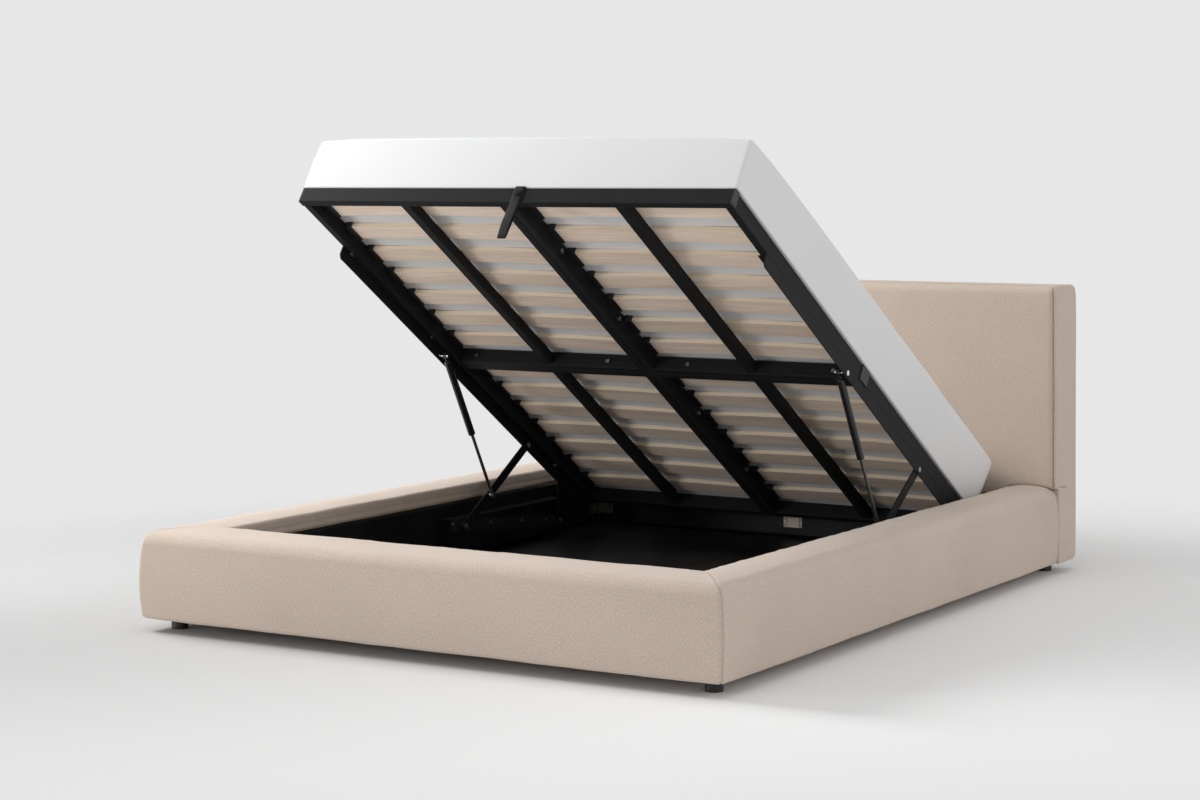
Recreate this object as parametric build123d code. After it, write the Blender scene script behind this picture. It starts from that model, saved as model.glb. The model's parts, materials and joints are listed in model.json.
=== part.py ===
from build123d import *
from math import atan2, acos, cos, degrees, hypot, radians, sin
import os

os.makedirs("parts", exist_ok=True)

# Millimetres. +X is the sleeper's right seen from the foot, +Y runs from foot to head, +Z is up.
# The origin is on the floor under the middle of the bed. The lift frame is modelled raised.

# Overall bed
bed_width = 1800.0
bed_length = 2360.0
headboard_height = 900.0
foot_height = 33.0
rail_top = 266.0
side_rail_width = 156.0
foot_rail_width = 194.0
headboard_depth = 186.0
headboard_slab = 151.0

# Upholstery on the rails
foam_outer = 30.0
foam_top = 20.0
fabric_wrap = 4.0
lip_thickness = 4.0
lip_depth = 45.0
top_edge_radius = 34.0
inner_edge_radius = 10.0
bottom_edge_radius = 12.0
face_bulge = 6.0
top_crown = 2.0
corner_radius = 14.0
seat_gap = 0.3

# Timber in the rails
board = 18.0
board_thin = 12.0

# Headboard
headboard_foam_side = 30.0
headboard_foam_back = 8.0
headboard_rim = 12.0
headboard_top_radius = 30.0
headboard_foot_radius = 18.0
headboard_side_radius = 7.0
headboard_rim_radius = 4.0
pad_edge_radius = 14.0
pad_side_radius = 10.0
pad_crown = 8.0
pad_drop = 26.0
front_ply = 9.0
back_ply = 6.0
upright_width = 40.0
cross_rail_height = 34.0
head_rail_thickness = 31.0

# Storage box
floor_top = 54.0
floor_board = 9.0
floor_split = 2.0
lining = 3.0
ledger_width = 30.0
bearer_width = 95.0
centre_foot_count = 3

# Feet
foot_radius = 23.0
foot_edge = 2.5
foot_inset_x = 69.0
foot_inset_foot = 87.0
foot_inset_head = 84.0

# Corner brackets and the plate at the head wall
bracket_leg = 60.0
bracket_height = 34.0
bracket_sheet = 3.0
bracket_centre_height = 105.0
bracket_screw_radius = 5.0
bracket_screw_head = 2.5
bracket_screw_shares = (0.4, 0.78)
plate_width = 66.0
plate_fold = 12.0
plate_screw_radius = 2.5
plate_screw_shares = (0.22, 0.78)

# Lift frame, in its own directions: s from its foot edge to its head edge, n square to the slats
frame_side_gap = 54.0
frame_foot_gap = 60.0
frame_head_gap = 34.0
tube_depth = 46.0
tube_width = 25.0
tube_wall = 1.5
tube_corner = 3.0
frame_split = 0.4
inner_bar_width = 30.0
inner_bar_depth = 30.0
inner_bar_lift = 6.0
cap_flange = 4.0
cap_edge = 1.2
cap_plug = 14.0
cap_clearance = 0.1

# Slats and their holders
slats_per_half = 7
slat_width = 63.0
slat_thickness = 12.0
slat_end_inset = 73.0
slat_bow = 4.0
slat_end_height = 34.0
holder_length = 26.0
holder_width = 72.0
holder_bottom = 31.0
holder_top = 49.5
holder_radius = 4.0
pocket_depth = 16.0
pocket_side = 0.3
pocket_under = 0.2
pocket_over = 1.2

# Lift linkage, side view
lift_angle = 32.9
base_pivot_spacing = 555.0
base_pivot_from_head = 538.0
front_pivot_height = 151.0
rear_pivot_height = 105.0
front_link_length = 420.0
rear_link_length = 138.5
front_link_width = 30.0
rear_link_width = 25.0
closed_frame_below_rail = 43.0
frame_pivot_drop = 22.0
link_thickness = 4.0
link_gap = 1.0
pivot_radius = 5.0
pivot_clearance = 0.05
pivot_head_radius = 8.5
pivot_head = 5.0
pivot_shoulder_radius = 9.0
washer_gap = 0.3

# Upper angle rail under the frame
rail_sheet = 3.0
rail_drop = 36.0
rail_seat_width = 30.0
rail_front_inset = 243.0
rail_head_inset = 86.0
rail_nose = 10.0
rail_bolt_from_foot_end = 36.5
rail_bolt_from_middle = 178.5
rail_bolt_from_head_end = 190.0
rail_bolt_in_from_edge = 12.0

# Base bracket and its batten
bracket_plate = 3.0
plate_height = 40.0
plate_chamfer = 8.0
plate_overrun_foot = 62.0
plate_overrun_head = 42.0
batten_below = 34.0
batten_above = 24.0
stand_off = 7.0
plate_bolt_offset = 6.0
plate_bolt_shares = (-0.1, 0.285, 0.61, 0.875)
stop_tab_thickness = 3.0
stop_tab_reach = 10.0
stop_tab_height = 26.0
stop_tab_offset = 29.0

# Gas struts
strut_plane_in = 26.0
strut_ball_from_head = 1044.0
strut_ball_drop = 24.0
strut_foot_along = 148.0
strut_foot_above = 8.0
cylinder_radius = 11.0
cylinder_bore = 9.4
cylinder_start = 20.0
cylinder_length = 272.0
cylinder_cap = 8.0
cylinder_edge = 1.5
rod_radius = 5.0
rod_clearance = 0.06
piston_length = 10.0
piston_clearance = 0.15
eye_radius = 8.5
eye_width = 12.0
stud_radius = 4.0
stud_clearance = 0.05
stud_tip_radius = 6.5
stud_tip = 4.0
neck_radius = 6.0
rod_fitting = 22.0
collar_radius = 7.0
collar = 4.0

# Fasteners
hex_radius = 7.5
hex_head = 6.0
bolt_radius = 4.0
hole_clearance = 0.2
mid_bolt_from_middle = 136.0
mid_bolt_from_side = 83.0
mid_bolt_height = 20.7
centre_bolt_pitches = (-1.5, 1.5)
screw_head_radius = 6.5
screw_head = 3.5
screw_radius = 3.0
screw_depth = 30.0

# Pull strap
strap_width = 28.0
strap_layer = 1.8
strap_gap = 0.6
strap_x = 38.0
strap_above = 4.0
strap_hang = 118.0
strap_bolt_drop = 20.0
strap_fold = 3.6
strap_washer_radius = 9.0
strap_washer = 1.6
strap_bolt_head = 3.0

# Mattress
mattress_overhang = 8.0
mattress_thickness = 180.0
mattress_crown = 8.0
mattress_edge = 20.0
mattress_corner = 30.0
mattress_side_bulge = 8.0
mattress_skin = 20.0
mattress_head_short = 3.0
overrun = 20.0

# Places worked out from the sizes above
half_width = bed_width / 2
half_length = bed_length / 2
inner_x = half_width - side_rail_width
core_in_x = inner_x + lip_thickness
core_out_x = half_width - foam_outer
foot_in_y = foot_rail_width - half_length
foot_core_in_y = foot_in_y - lip_thickness
foot_core_out_y = foam_outer - half_length
slab_y = half_length - headboard_slab
pad_y = half_length - headboard_depth
core_bottom = foot_height + fabric_wrap
core_top = rail_top - foam_top
lip_bottom = rail_top - lip_depth
floor_bottom = floor_top - floor_board
lining_x = core_in_x - lining
lining_foot_y = foot_core_in_y + lining
head_rail_y = slab_y - head_rail_thickness
head_rail_top = rail_top - pad_drop - seat_gap
lining_head_y = head_rail_y - lining

frame_half = inner_x - frame_side_gap
frame_length = pad_y - foot_in_y - frame_foot_gap - frame_head_gap
frame_head_y = pad_y - frame_head_gap
half_frame = frame_length / 2
inner_side_x = frame_half - tube_width
frame_middle_x = frame_split / 2
centre_side_x = frame_middle_x + tube_width
slat_run = half_frame - tube_width * 2 - slat_end_inset * 2
slat_pitch = slat_run / (slats_per_half - 1)

front_pivot = Vector(half_length - base_pivot_from_head - base_pivot_spacing, front_pivot_height)
rear_pivot = Vector(half_length - base_pivot_from_head, rear_pivot_height)
closed_pivot_height = rail_top - closed_frame_below_rail - frame_pivot_drop

rail_out_x = frame_half
rail_in_x = rail_out_x - rail_sheet
link_out_x = rail_in_x - link_gap
link_in_x = link_out_x - link_thickness
strut_x = frame_half - strut_plane_in
plate_in_x = rail_out_x + stand_off - bracket_plate
plate_out_x = rail_out_x + stand_off


def turn(angle):
    """The unit vector at an angle in the side view, from +Y towards +Z."""
    return Vector(cos(radians(angle)), sin(radians(angle)))


def plate_bolt_steps():
    """Where bolts hold the base bracket, along it from the front pivot."""
    spacing = (rear_pivot - front_pivot).length
    return [spacing * share for share in plate_bolt_shares]


def bearing(from_point, to_point):
    """The side-view angle from one point to another, in degrees."""
    step = to_point - from_point
    return degrees(atan2(step.Y, step.X))


def closed_pivot_s(base_pivot, link_length):
    """Where a link meets the frame, from the frame's foot edge, when the bed is closed."""
    rise = closed_pivot_height - base_pivot.Y
    reach = (link_length**2 - rise**2) ** 0.5
    return frame_length - (frame_head_y - base_pivot.X - reach)


front_pivot_s = closed_pivot_s(front_pivot, front_link_length)
rear_pivot_s = closed_pivot_s(rear_pivot, rear_link_length)


def open_front_link_angle():
    """The front link's angle that closes the four-bar when the frame slopes down by lift_angle."""
    coupler = turn(-lift_angle) * (rear_pivot_s - front_pivot_s)
    reach = rear_pivot - front_pivot - coupler
    span = reach.length
    along = (front_link_length**2 + span**2 - rear_link_length**2) / (2 * front_link_length * span)
    return degrees(atan2(reach.Y, reach.X)) + degrees(acos(along))


front_link_angle = open_front_link_angle()
frame_front_pivot = front_pivot + turn(front_link_angle) * front_link_length
frame_along = turn(-lift_angle)
frame_up = turn(90 - lift_angle)
frame_origin = frame_front_pivot - frame_along * front_pivot_s + frame_up * frame_pivot_drop


def frame_point(s, n):
    """A side-view point from its place on the lift frame."""
    return frame_origin + frame_along * s + frame_up * n


frame_rear_pivot = frame_point(rear_pivot_s, -frame_pivot_drop)
rear_link_angle = bearing(rear_pivot, frame_rear_pivot)
strut_top = frame_point(frame_length - strut_ball_from_head, -strut_ball_drop)
strut_foot = front_pivot + turn(front_link_angle) * strut_foot_along
strut_foot = strut_foot + turn(front_link_angle + 90) * strut_foot_above
strut_angle = bearing(strut_top, strut_foot)
strut_length = (strut_foot - strut_top).length

print(f"front link {front_link_angle:.3f} deg, rear link {rear_link_angle:.3f} deg")
print(f"strut {strut_length:.2f} long at {strut_angle:.3f} deg")
print(f"frame foot edge y {frame_origin.X:.2f} z {frame_origin.Y:.2f}, length {frame_length:.1f}")
for label, point in (
    ("base front pivot", front_pivot),
    ("base rear pivot", rear_pivot),
    ("frame front pivot", frame_front_pivot),
    ("frame rear pivot", frame_rear_pivot),
    ("strut top", strut_top),
    ("strut foot", strut_foot),
):
    print(f"{label} y {point.X:.3f} z {point.Y:.3f}")


def block(x0, x1, y0, y1, z0, z1):
    """A box between two corners."""
    middle = Pos((x0 + x1) / 2, (y0 + y1) / 2, (z0 + z1) / 2)
    return middle * Box(x1 - x0, y1 - y0, z1 - z0)


def side_view(shape, at=Vector(0, 0), angle=0.0):
    """Takes a shape drawn in side-view coordinates, its height along X, to its place."""
    return Plane.YZ * (Pos(at.X, at.Y, 0) * Rot(0, 0, angle) * shape)


def on_frame(shape):
    """Takes a shape drawn in s, n and x to the raised lift frame."""
    return side_view(shape, frame_origin, -lift_angle)


def mirrored(shape):
    """The same shape on the other side of the bed."""
    return mirror(shape, about=Plane.YZ)


def disc(x0, x1, radius, at=Vector(0, 0)):
    """A round pin across the bed, in side-view coordinates."""
    return Pos(at.X, at.Y, (x0 + x1) / 2) * Cylinder(radius, x1 - x0)


def write(name, *shapes):
    """Writes one sub-part, as one solid or a group of separate solids."""
    solids = [solid for shape in shapes for solid in shape.solids()]
    export_step(solids[0] if len(solids) == 1 else Compound(children=solids), f"parts/{name}.step")


# Upholstered rails
def rail_outline(width, reach):
    """The cover's section: across from the inner face at 0 to the outer face at width, and up."""
    outer = reach
    inner = reach - width
    core_in = inner + lip_thickness
    low = foot_height
    high = rail_top
    tuck = outer - face_bulge
    mid_height = (low + high) / 2
    crown_x = (inner + outer) / 2
    with BuildLine() as line:
        Line((core_in, low), (tuck - bottom_edge_radius, low))
        low_arc = RadiusArc(
            (tuck - bottom_edge_radius, low), (tuck, low + bottom_edge_radius), -bottom_edge_radius
        )
        face = ThreePointArc(low_arc @ 1, (outer, mid_height), (tuck, high - top_edge_radius))
        shoulder = RadiusArc(
            face @ 1, (tuck - top_edge_radius, high - top_crown / 2), -top_edge_radius
        )
        top = ThreePointArc(
            shoulder @ 1,
            (crown_x, high),
            (inner + inner_edge_radius, high - top_crown),
        )
        nose = RadiusArc(top @ 1, (inner, high - inner_edge_radius - top_crown), -inner_edge_radius)
        Line(nose @ 1, (inner, lip_bottom))
        Line((inner, lip_bottom), (core_in, lip_bottom))
        Line((core_in, lip_bottom), (core_in, low))
    return make_face(line.line)


def side_core(y0, y1):
    """A side rail's box beam, open below."""
    outer = block(core_in_x, core_out_x, y0, y1, core_bottom, core_top)
    inside = block(
        core_in_x + board,
        core_out_x - board_thin,
        y0 - overrun,
        y1 + overrun,
        core_bottom - overrun,
        core_top - board_thin,
    )
    return outer - inside


def foot_core():
    """The foot rail's box beam, open below."""
    outer = block(-core_out_x, core_out_x, foot_core_out_y, foot_core_in_y, core_bottom, core_top)
    inside = block(
        board - core_out_x,
        core_out_x - board,
        foot_core_out_y + board_thin,
        foot_core_in_y - board,
        core_bottom - overrun,
        core_top - board_thin,
    )
    return outer - inside


def core_space():
    """The room that the rail beams take inside the covers."""
    sides = block(-core_out_x, core_out_x, foot_core_out_y, slab_y, core_bottom, core_top)
    box = block(-core_in_x, core_in_x, foot_core_in_y, slab_y, core_bottom, core_top)
    head = block(-core_in_x, core_in_x, head_rail_y, slab_y, core_bottom, head_rail_top)
    return (sides - box) + head


def corner_envelope():
    """The base's outline from above, with softened foot corners."""
    plan = Rectangle(bed_width, bed_length)
    prism = extrude(plan, rail_top + overrun)
    foot_corners = prism.edges().filter_by(Axis.Z).group_by(Axis.Y)[0]
    return fillet(foot_corners, corner_radius)


def side_cover(envelope):
    """A side rail's padded cover, mitred at the foot and butted to the headboard."""
    section = rail_outline(side_rail_width, half_width)
    run = extrude(Plane.XZ * section, -bed_length / 2)
    run = run + extrude(Plane.XZ * section, bed_length / 2)
    corner = Vector(inner_x, foot_in_y)
    outward = Vector(half_width, -half_length) - corner
    far = corner + outward * 2
    keep = Polyline(
        (corner.X, corner.Y),
        (far.X, far.Y),
        (far.X, slab_y),
        (inner_x - overrun, slab_y),
        (inner_x - overrun, foot_in_y),
        close=True,
    )
    region = extrude(make_face(keep), rail_top + overrun)
    return (run & region & envelope) - core_space()


def foot_cover(envelope):
    """The foot rail's padded cover between its two mitres."""
    section = rail_outline(foot_rail_width, half_length)
    run = extrude(Plane.YZ * mirror(section, about=Plane.YZ), half_width)
    run = run + extrude(Plane.YZ * mirror(section, about=Plane.YZ), -half_width)
    corner = Vector(inner_x, foot_in_y)
    outward = Vector(half_width, -half_length) - corner
    far = corner + outward * 2
    keep = Polyline(
        (corner.X, corner.Y),
        (far.X, far.Y),
        (-far.X, far.Y),
        (-corner.X, corner.Y),
        close=True,
    )
    region = extrude(make_face(keep), rail_top + overrun)
    return (run & region & envelope) - core_space()


def rails():
    """The padded rails and the timber in them."""
    envelope = corner_envelope()
    cover = side_cover(envelope)
    core = side_core(foot_core_in_y, slab_y)
    write("side_rail_cover_right", cover)
    write("side_rail_cover_left", mirrored(cover))
    write("side_rail_core_right", core)
    write("side_rail_core_left", mirrored(core))
    write("foot_rail_cover", foot_cover(envelope))
    write("foot_rail_core", foot_core())


# Headboard
headboard_core_x = half_width - headboard_foam_side
headboard_core_top = headboard_height - headboard_foam_side
headboard_core_back = half_length - headboard_foam_back
frame_front_y = slab_y + front_ply
frame_back_y = headboard_core_back - back_ply


def headboard_cover():
    """The border round the headboard's sides, top, bottom and back."""
    slab = block(-half_width, half_width, slab_y, half_length, foot_height, headboard_height)
    back = slab.edges().filter_by(Axis.X).group_by(Axis.Y)[-1].sort_by(Axis.Z)
    slab = fillet(back[1], headboard_top_radius)
    low = slab.edges().filter_by(Axis.X).group_by(Axis.Z)[0].sort_by(Axis.Y)
    slab = fillet(low[-1], headboard_foot_radius)
    for ends in (slab.edges().group_by(Axis.X)[0], slab.edges().group_by(Axis.X)[-1]):
        slab = fillet(ends.sort_by(Axis.Y)[1:], headboard_side_radius)
    rim_low = rail_top + seat_gap
    rim = block(-half_width, half_width, pad_y, slab_y, rim_low, headboard_height)
    inside = block(
        headboard_rim - half_width,
        half_width - headboard_rim,
        pad_y - overrun,
        slab_y + overrun,
        rim_low - overrun,
        headboard_height - headboard_rim,
    )
    rim = fillet(rim.edges().group_by(Axis.Y)[0].sort_by(Axis.Z)[1:], headboard_rim_radius)
    core = block(
        -headboard_core_x,
        headboard_core_x,
        slab_y - overrun,
        headboard_core_back,
        core_bottom,
        headboard_core_top,
    )
    return (slab + (rim - inside)) - core


def crowned(half, low, high):
    """A pad from pad_y to slab_y whose front swells between its low and high edges."""
    edge = pad_edge_radius
    drop = pad_crown + edge
    middle = (low + high) / 2
    with BuildLine() as line:
        face = ThreePointArc(
            (pad_y + pad_crown, low + edge), (pad_y, middle), (pad_y + pad_crown, high - edge)
        )
        RadiusArc(face @ 1, (pad_y + drop, high), edge)
        Line((pad_y + drop, high), (slab_y, high))
        Line((slab_y, high), (slab_y, low))
        Line((slab_y, low), (pad_y + drop, low))
        RadiusArc((pad_y + drop, low), face @ 0, edge)
    pad = Pos(-half, 0, 0) * extrude(Plane.YZ * make_face(line.line), half * 2)
    fronts = [
        side.filter_by(GeomType.CIRCLE).sort_by(SortBy.LENGTH)[-1]
        for side in (pad.edges().group_by(Axis.X)[0], pad.edges().group_by(Axis.X)[-1])
    ]
    return fillet(fronts, pad_side_radius)


def headboard_pad():
    """The crowned front pad, notched over the side rails."""
    half = half_width - headboard_rim - seat_gap
    high = headboard_height - headboard_rim - seat_gap
    low = rail_top - pad_drop
    pad = crowned(half, low, high)
    for side in (-1, 1):
        x0, x1 = sorted((side * (inner_x - seat_gap), side * (half_width + overrun)))
        pad = pad - block(
            x0, x1, pad_y - overrun, slab_y + overrun, low - overrun, rail_top + seat_gap
        )
    return pad


def headboard_timber():
    """Uprights and cross rails of the headboard frame."""
    upright_xs = (
        upright_width / 2 - headboard_core_x,
        0.0,
        headboard_core_x - upright_width / 2,
    )
    uprights = [
        block(
            x - upright_width / 2,
            x + upright_width / 2,
            frame_front_y,
            frame_back_y,
            core_bottom,
            headboard_core_top,
        )
        for x in upright_xs
    ]
    rails = []
    for x0, x1 in zip(upright_xs, upright_xs[1:]):
        for low in (core_bottom, headboard_core_top - cross_rail_height):
            rails.append(
                block(
                    x0 + upright_width / 2,
                    x1 - upright_width / 2,
                    frame_front_y,
                    frame_back_y,
                    low,
                    low + cross_rail_height,
                )
            )
    return uprights, rails


def headboard():
    """The headboard's cover, pad, panels and frame, and the rail across the head of the box."""
    uprights, cross_rails = headboard_timber()
    write("headboard_cover", headboard_cover())
    write("headboard_pad", headboard_pad())
    write("headboard_uprights", *uprights)
    write("headboard_cross_rails", *cross_rails)
    x = headboard_core_x
    write(
        "headboard_front_panel",
        block(-x, x, slab_y, frame_front_y, core_bottom, headboard_core_top),
    )
    write(
        "headboard_back_panel",
        block(-x, x, frame_back_y, headboard_core_back, core_bottom, headboard_core_top),
    )
    write(
        "head_rail",
        block(-core_in_x, core_in_x, head_rail_y, slab_y, core_bottom, head_rail_top),
    )


# Storage box
def storage_box():
    """Floor panels, their bearer and ledgers, and the black lining round the walls."""
    side = block(lining_x, core_in_x, foot_core_in_y, head_rail_y, floor_top, lip_bottom)
    write("lining_right", side)
    write("lining_left", mirrored(side))
    x = lining_x
    write("lining_foot", block(-x, x, foot_core_in_y, lining_foot_y, floor_top, lip_bottom))
    x = inner_x - seat_gap
    write("lining_head", block(-x, x, lining_head_y, head_rail_y, floor_top, head_rail_top))
    panel = block(
        floor_split / 2, core_in_x, foot_core_in_y, head_rail_y, floor_bottom, floor_top
    )
    write("storage_floor_panels", panel, mirrored(panel))
    ledger = block(
        core_in_x - ledger_width, core_in_x, foot_core_in_y, head_rail_y, core_bottom, floor_bottom
    )
    write("floor_ledgers", ledger, mirrored(ledger))
    x = bearer_width / 2
    write(
        "floor_bearer",
        block(-x, x, foot_core_in_y, head_rail_y, foot_height, floor_bottom),
    )


def foot_at(x, y):
    """A round foot from the floor to the underside."""
    puck = Cylinder(foot_radius, foot_height)
    puck = fillet(puck.edges().group_by(Axis.Z)[0], foot_edge)
    return Pos(x, y, foot_height / 2) * puck


def feet():
    """The four corner feet and the feet under the bearer."""
    x = half_width - foot_inset_x
    box_length = head_rail_y - foot_core_in_y
    corners = [
        foot_at(side * x, y)
        for side in (-1, 1)
        for y in (foot_inset_foot - half_length, half_length - foot_inset_head)
    ]
    write("corner_feet", *corners)
    middles = [
        foot_core_in_y + box_length * (i + 0.5) / centre_foot_count
        for i in range(centre_foot_count)
    ]
    write("centre_feet", *[foot_at(0.0, y) for y in middles])


def corner_bracket():
    """A folded bracket in the foot corner on the right, with its holes."""
    low = bracket_centre_height - bracket_height / 2
    high = bracket_centre_height + bracket_height / 2
    on_side = block(
        lining_x - bracket_sheet, lining_x, lining_foot_y, lining_foot_y + bracket_leg, low, high
    )
    on_foot = block(
        lining_x - bracket_leg, lining_x, lining_foot_y, lining_foot_y + bracket_sheet, low, high
    )
    screws = []
    stand = bracket_sheet + bracket_screw_head / 2
    for share in bracket_screw_shares:
        step = bracket_leg * share
        on_side_at = Pos(lining_x - stand, lining_foot_y + step, bracket_centre_height)
        on_foot_at = Pos(lining_x - step, lining_foot_y + stand, bracket_centre_height)
        head = Cylinder(bracket_screw_radius, bracket_screw_head)
        screws.append(on_side_at * Rot(0, 90, 0) * head)
        screws.append(on_foot_at * Rot(90, 0, 0) * head)
    return on_side + on_foot, screws


def to_head(shape):
    """A shape at the foot wall of the box, turned to the head wall."""
    middle = (lining_foot_y + lining_head_y) / 2
    return mirror(shape, about=Plane.XZ.offset(-middle))


def box_hardware():
    """Corner brackets, the folded plate in the middle of the head wall, and their screws."""
    bracket, screws = corner_bracket()
    brackets = [bracket, mirrored(bracket), to_head(bracket), to_head(mirrored(bracket))]
    write("corner_brackets", *brackets)
    every_screw = []
    for screw in screws:
        every_screw += [screw, mirrored(screw), to_head(screw), to_head(mirrored(screw))]
    low = bracket_centre_height - bracket_height / 2
    high = bracket_centre_height + bracket_height / 2
    plate = block(
        -plate_width / 2, plate_width / 2, lining_head_y - bracket_sheet, lining_head_y, low, high
    )
    for side in (-1, 1):
        x = side * (plate_width / 2 - plate_fold)
        x0, x1 = sorted((x, x + side * bracket_sheet))
        plate = plate + block(
            x0, x1, lining_head_y - bracket_sheet * 2, lining_head_y - bracket_sheet, low, high
        )
        for share in plate_screw_shares:
            z = low + bracket_height * share
            screw_x = side * (plate_width / 2 - plate_fold / 2)
            spot = Pos(screw_x, lining_head_y - bracket_sheet - bracket_screw_head / 2, z)
            head = Cylinder(plate_screw_radius, bracket_screw_head)
            every_screw.append(spot * Rot(90, 0, 0) * head)
    write("head_wall_plate", plate)
    write("bracket_screws", *every_screw)


# Lift frame
def tube(s0, s1, n0, n1, x0, x1, along):
    """A rectangular steel tube between two corners on the frame, open at its ends."""
    outer = block(s0, s1, n0, n1, x0, x1)
    outer = fillet(outer.edges().filter_by(along), tube_corner)
    reach = {Axis.X: (overrun, 0.0), Axis.Z: (0.0, overrun)}[along]
    ds = reach[0] or -tube_wall
    dx = reach[1] or -tube_wall
    return outer - block(s0 - ds, s1 + ds, n0 + tube_wall, n1 - tube_wall, x0 - dx, x1 + dx)


def bored(shape, s, n, x, axis):
    """A bolt hole through a tube, across it along s or x."""
    spin = Rot(0, 90, 0) if axis == "s" else Rot(0, 0, 0)
    drill = Pos(s, n, x) * spin * Cylinder(bolt_radius + hole_clearance, tube_width + overrun)
    return shape - drill


mid_bolt_xs = (mid_bolt_from_middle, frame_half - mid_bolt_from_side)
cross_starts = (
    0.0,
    half_frame - tube_width,
    half_frame,
    frame_length - tube_width,
)
half_spans = (
    (tube_width, half_frame - tube_width),
    (half_frame + tube_width, frame_length - tube_width),
)


def centre_bolt_places():
    """Where bolts join the left and right frames along the middle."""
    return [
        (s0 + s1) / 2 + slat_pitch * step
        for s0, s1 in half_spans
        for step in centre_bolt_pitches
    ]


def cross_tube(start, drilled):
    """The right half of a tube across the frame."""
    shape = tube(
        start, start + tube_width, 0.0, tube_depth, frame_middle_x, frame_half, Axis.Z
    )
    if drilled:
        for x in mid_bolt_xs:
            shape = bored(shape, start + tube_width / 2, mid_bolt_height, x, "s")
    return shape


def long_tubes():
    """The side tubes, centre tubes and inner bars of the right half."""
    side, centre, inner = [], [], []
    bar_x = (centre_side_x + inner_side_x) / 2
    for s0, s1 in half_spans:
        side.append(tube(s0, s1, 0.0, tube_depth, inner_side_x, frame_half, Axis.X))
        middle = tube(s0, s1, 0.0, tube_depth, frame_middle_x, centre_side_x, Axis.X)
        for s in centre_bolt_places():
            if s0 < s < s1:
                middle = bored(middle, s, tube_depth / 2, centre_side_x / 2, "x")
        centre.append(middle)
        inner.append(
            tube(
                s0,
                s1,
                inner_bar_lift,
                inner_bar_lift + inner_bar_depth,
                bar_x - inner_bar_width / 2,
                bar_x + inner_bar_width / 2,
                Axis.X,
            )
        )
    return side, centre, inner


def end_cap(start):
    """A plastic plug in the outer end of a cross tube."""
    flange = block(start, start + tube_width, 0.0, tube_depth, frame_half, frame_half + cap_flange)
    flange = fillet(flange.edges().group_by(Axis.Z)[-1], cap_edge)
    inset = tube_wall + cap_clearance
    plug = block(
        start + inset,
        start + tube_width - inset,
        inset,
        tube_depth - inset,
        frame_half - cap_plug,
        frame_half,
    )
    return flange + plug


def hex_bolt(length, nut_at):
    """A hexagon bolt along +Z: head below 0, shank of that length and a nut at nut_at."""
    head = extrude(RegularPolygon(hex_radius, 6), -hex_head)
    shank = extrude(Circle(bolt_radius), length)
    nut = Pos(0, 0, nut_at) * extrude(RegularPolygon(hex_radius, 6), hex_head)
    return head + shank + nut


def frame_steel():
    """The tubes of the four quarter frames, their end caps and the bolts that join them."""
    cross = [cross_tube(start, 0 < i < 3) for i, start in enumerate(cross_starts)]
    names = ("foot_cross_tubes", "mid_cross_tubes", "mid_cross_tubes", "head_cross_tubes")
    groups = {}
    for name, shape in zip(names, cross):
        groups.setdefault(name, []).extend([shape, mirrored_x(shape)])
    for name, shapes in groups.items():
        write(name, *[on_frame(shape) for shape in shapes])
    side, centre, inner = long_tubes()
    for name, shapes in (("side_tubes", side), ("centre_tubes", centre), ("inner_bars", inner)):
        both = shapes + [mirrored_x(shape) for shape in shapes]
        write(name, *[on_frame(shape) for shape in both])
    caps = [end_cap(start) for start in cross_starts]
    caps += [mirrored_x(cap) for cap in caps]
    write("tube_end_caps", *[on_frame(cap) for cap in caps])
    bolts = []
    for x in mid_bolt_xs:
        for side_x in (-x, x):
            place = Pos(cross_starts[1], mid_bolt_height, side_x) * Rot(0, 90, 0)
            bolts.append(place * hex_bolt(tube_width * 2 + hex_head, tube_width * 2))
    for s in centre_bolt_places():
        place = Pos(s, tube_depth / 2, -centre_side_x)
        bolts.append(place * hex_bolt(centre_side_x * 2 + hex_head, centre_side_x * 2))
    write("frame_joint_bolts", *[on_frame(bolt) for bolt in bolts])


def mirrored_x(shape):
    """The same shape on the left of the frame, before it is raised."""
    return mirror(shape, about=Plane.XY)


def slat():
    """A bowed slat of the right half, centred on s = 0."""
    gap = holder_length - pocket_depth + seat_gap
    x0 = centre_side_x + gap
    x1 = inner_side_x - gap
    low = slat_end_height
    high = slat_end_height + slat_thickness
    middle = (x0 + x1) / 2
    with BuildLine() as line:
        under = ThreePointArc((low, x0), (low + slat_bow, middle), (low, x1))
        Line(under @ 1, (high, x1))
        over = ThreePointArc((high, x1), (high + slat_bow, middle), (high, x0))
        Line(over @ 1, (low, x0))
    profile = make_face(line.line)
    strip = extrude(Plane.YZ * profile, slat_width / 2)
    return strip + extrude(Plane.YZ * profile, -slat_width / 2)


def holder(x_tube, side):
    """A slat holder on a tube face at x_tube, reaching to the given side, centred on s = 0."""
    x0, x1 = sorted((x_tube, x_tube + side * holder_length))
    body = block(-holder_width / 2, holder_width / 2, holder_bottom, holder_top, x0, x1)
    body = fillet(body.edges().filter_by(Axis.Y), holder_radius)
    pocket_start = x_tube + side * (holder_length - pocket_depth)
    p0, p1 = sorted((pocket_start, x_tube + side * (holder_length + overrun)))
    half = slat_width / 2 + pocket_side
    low = slat_end_height - pocket_under
    high = slat_end_height + slat_thickness + pocket_over
    return body - block(-half, half, low, high, p0, p1)


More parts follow.
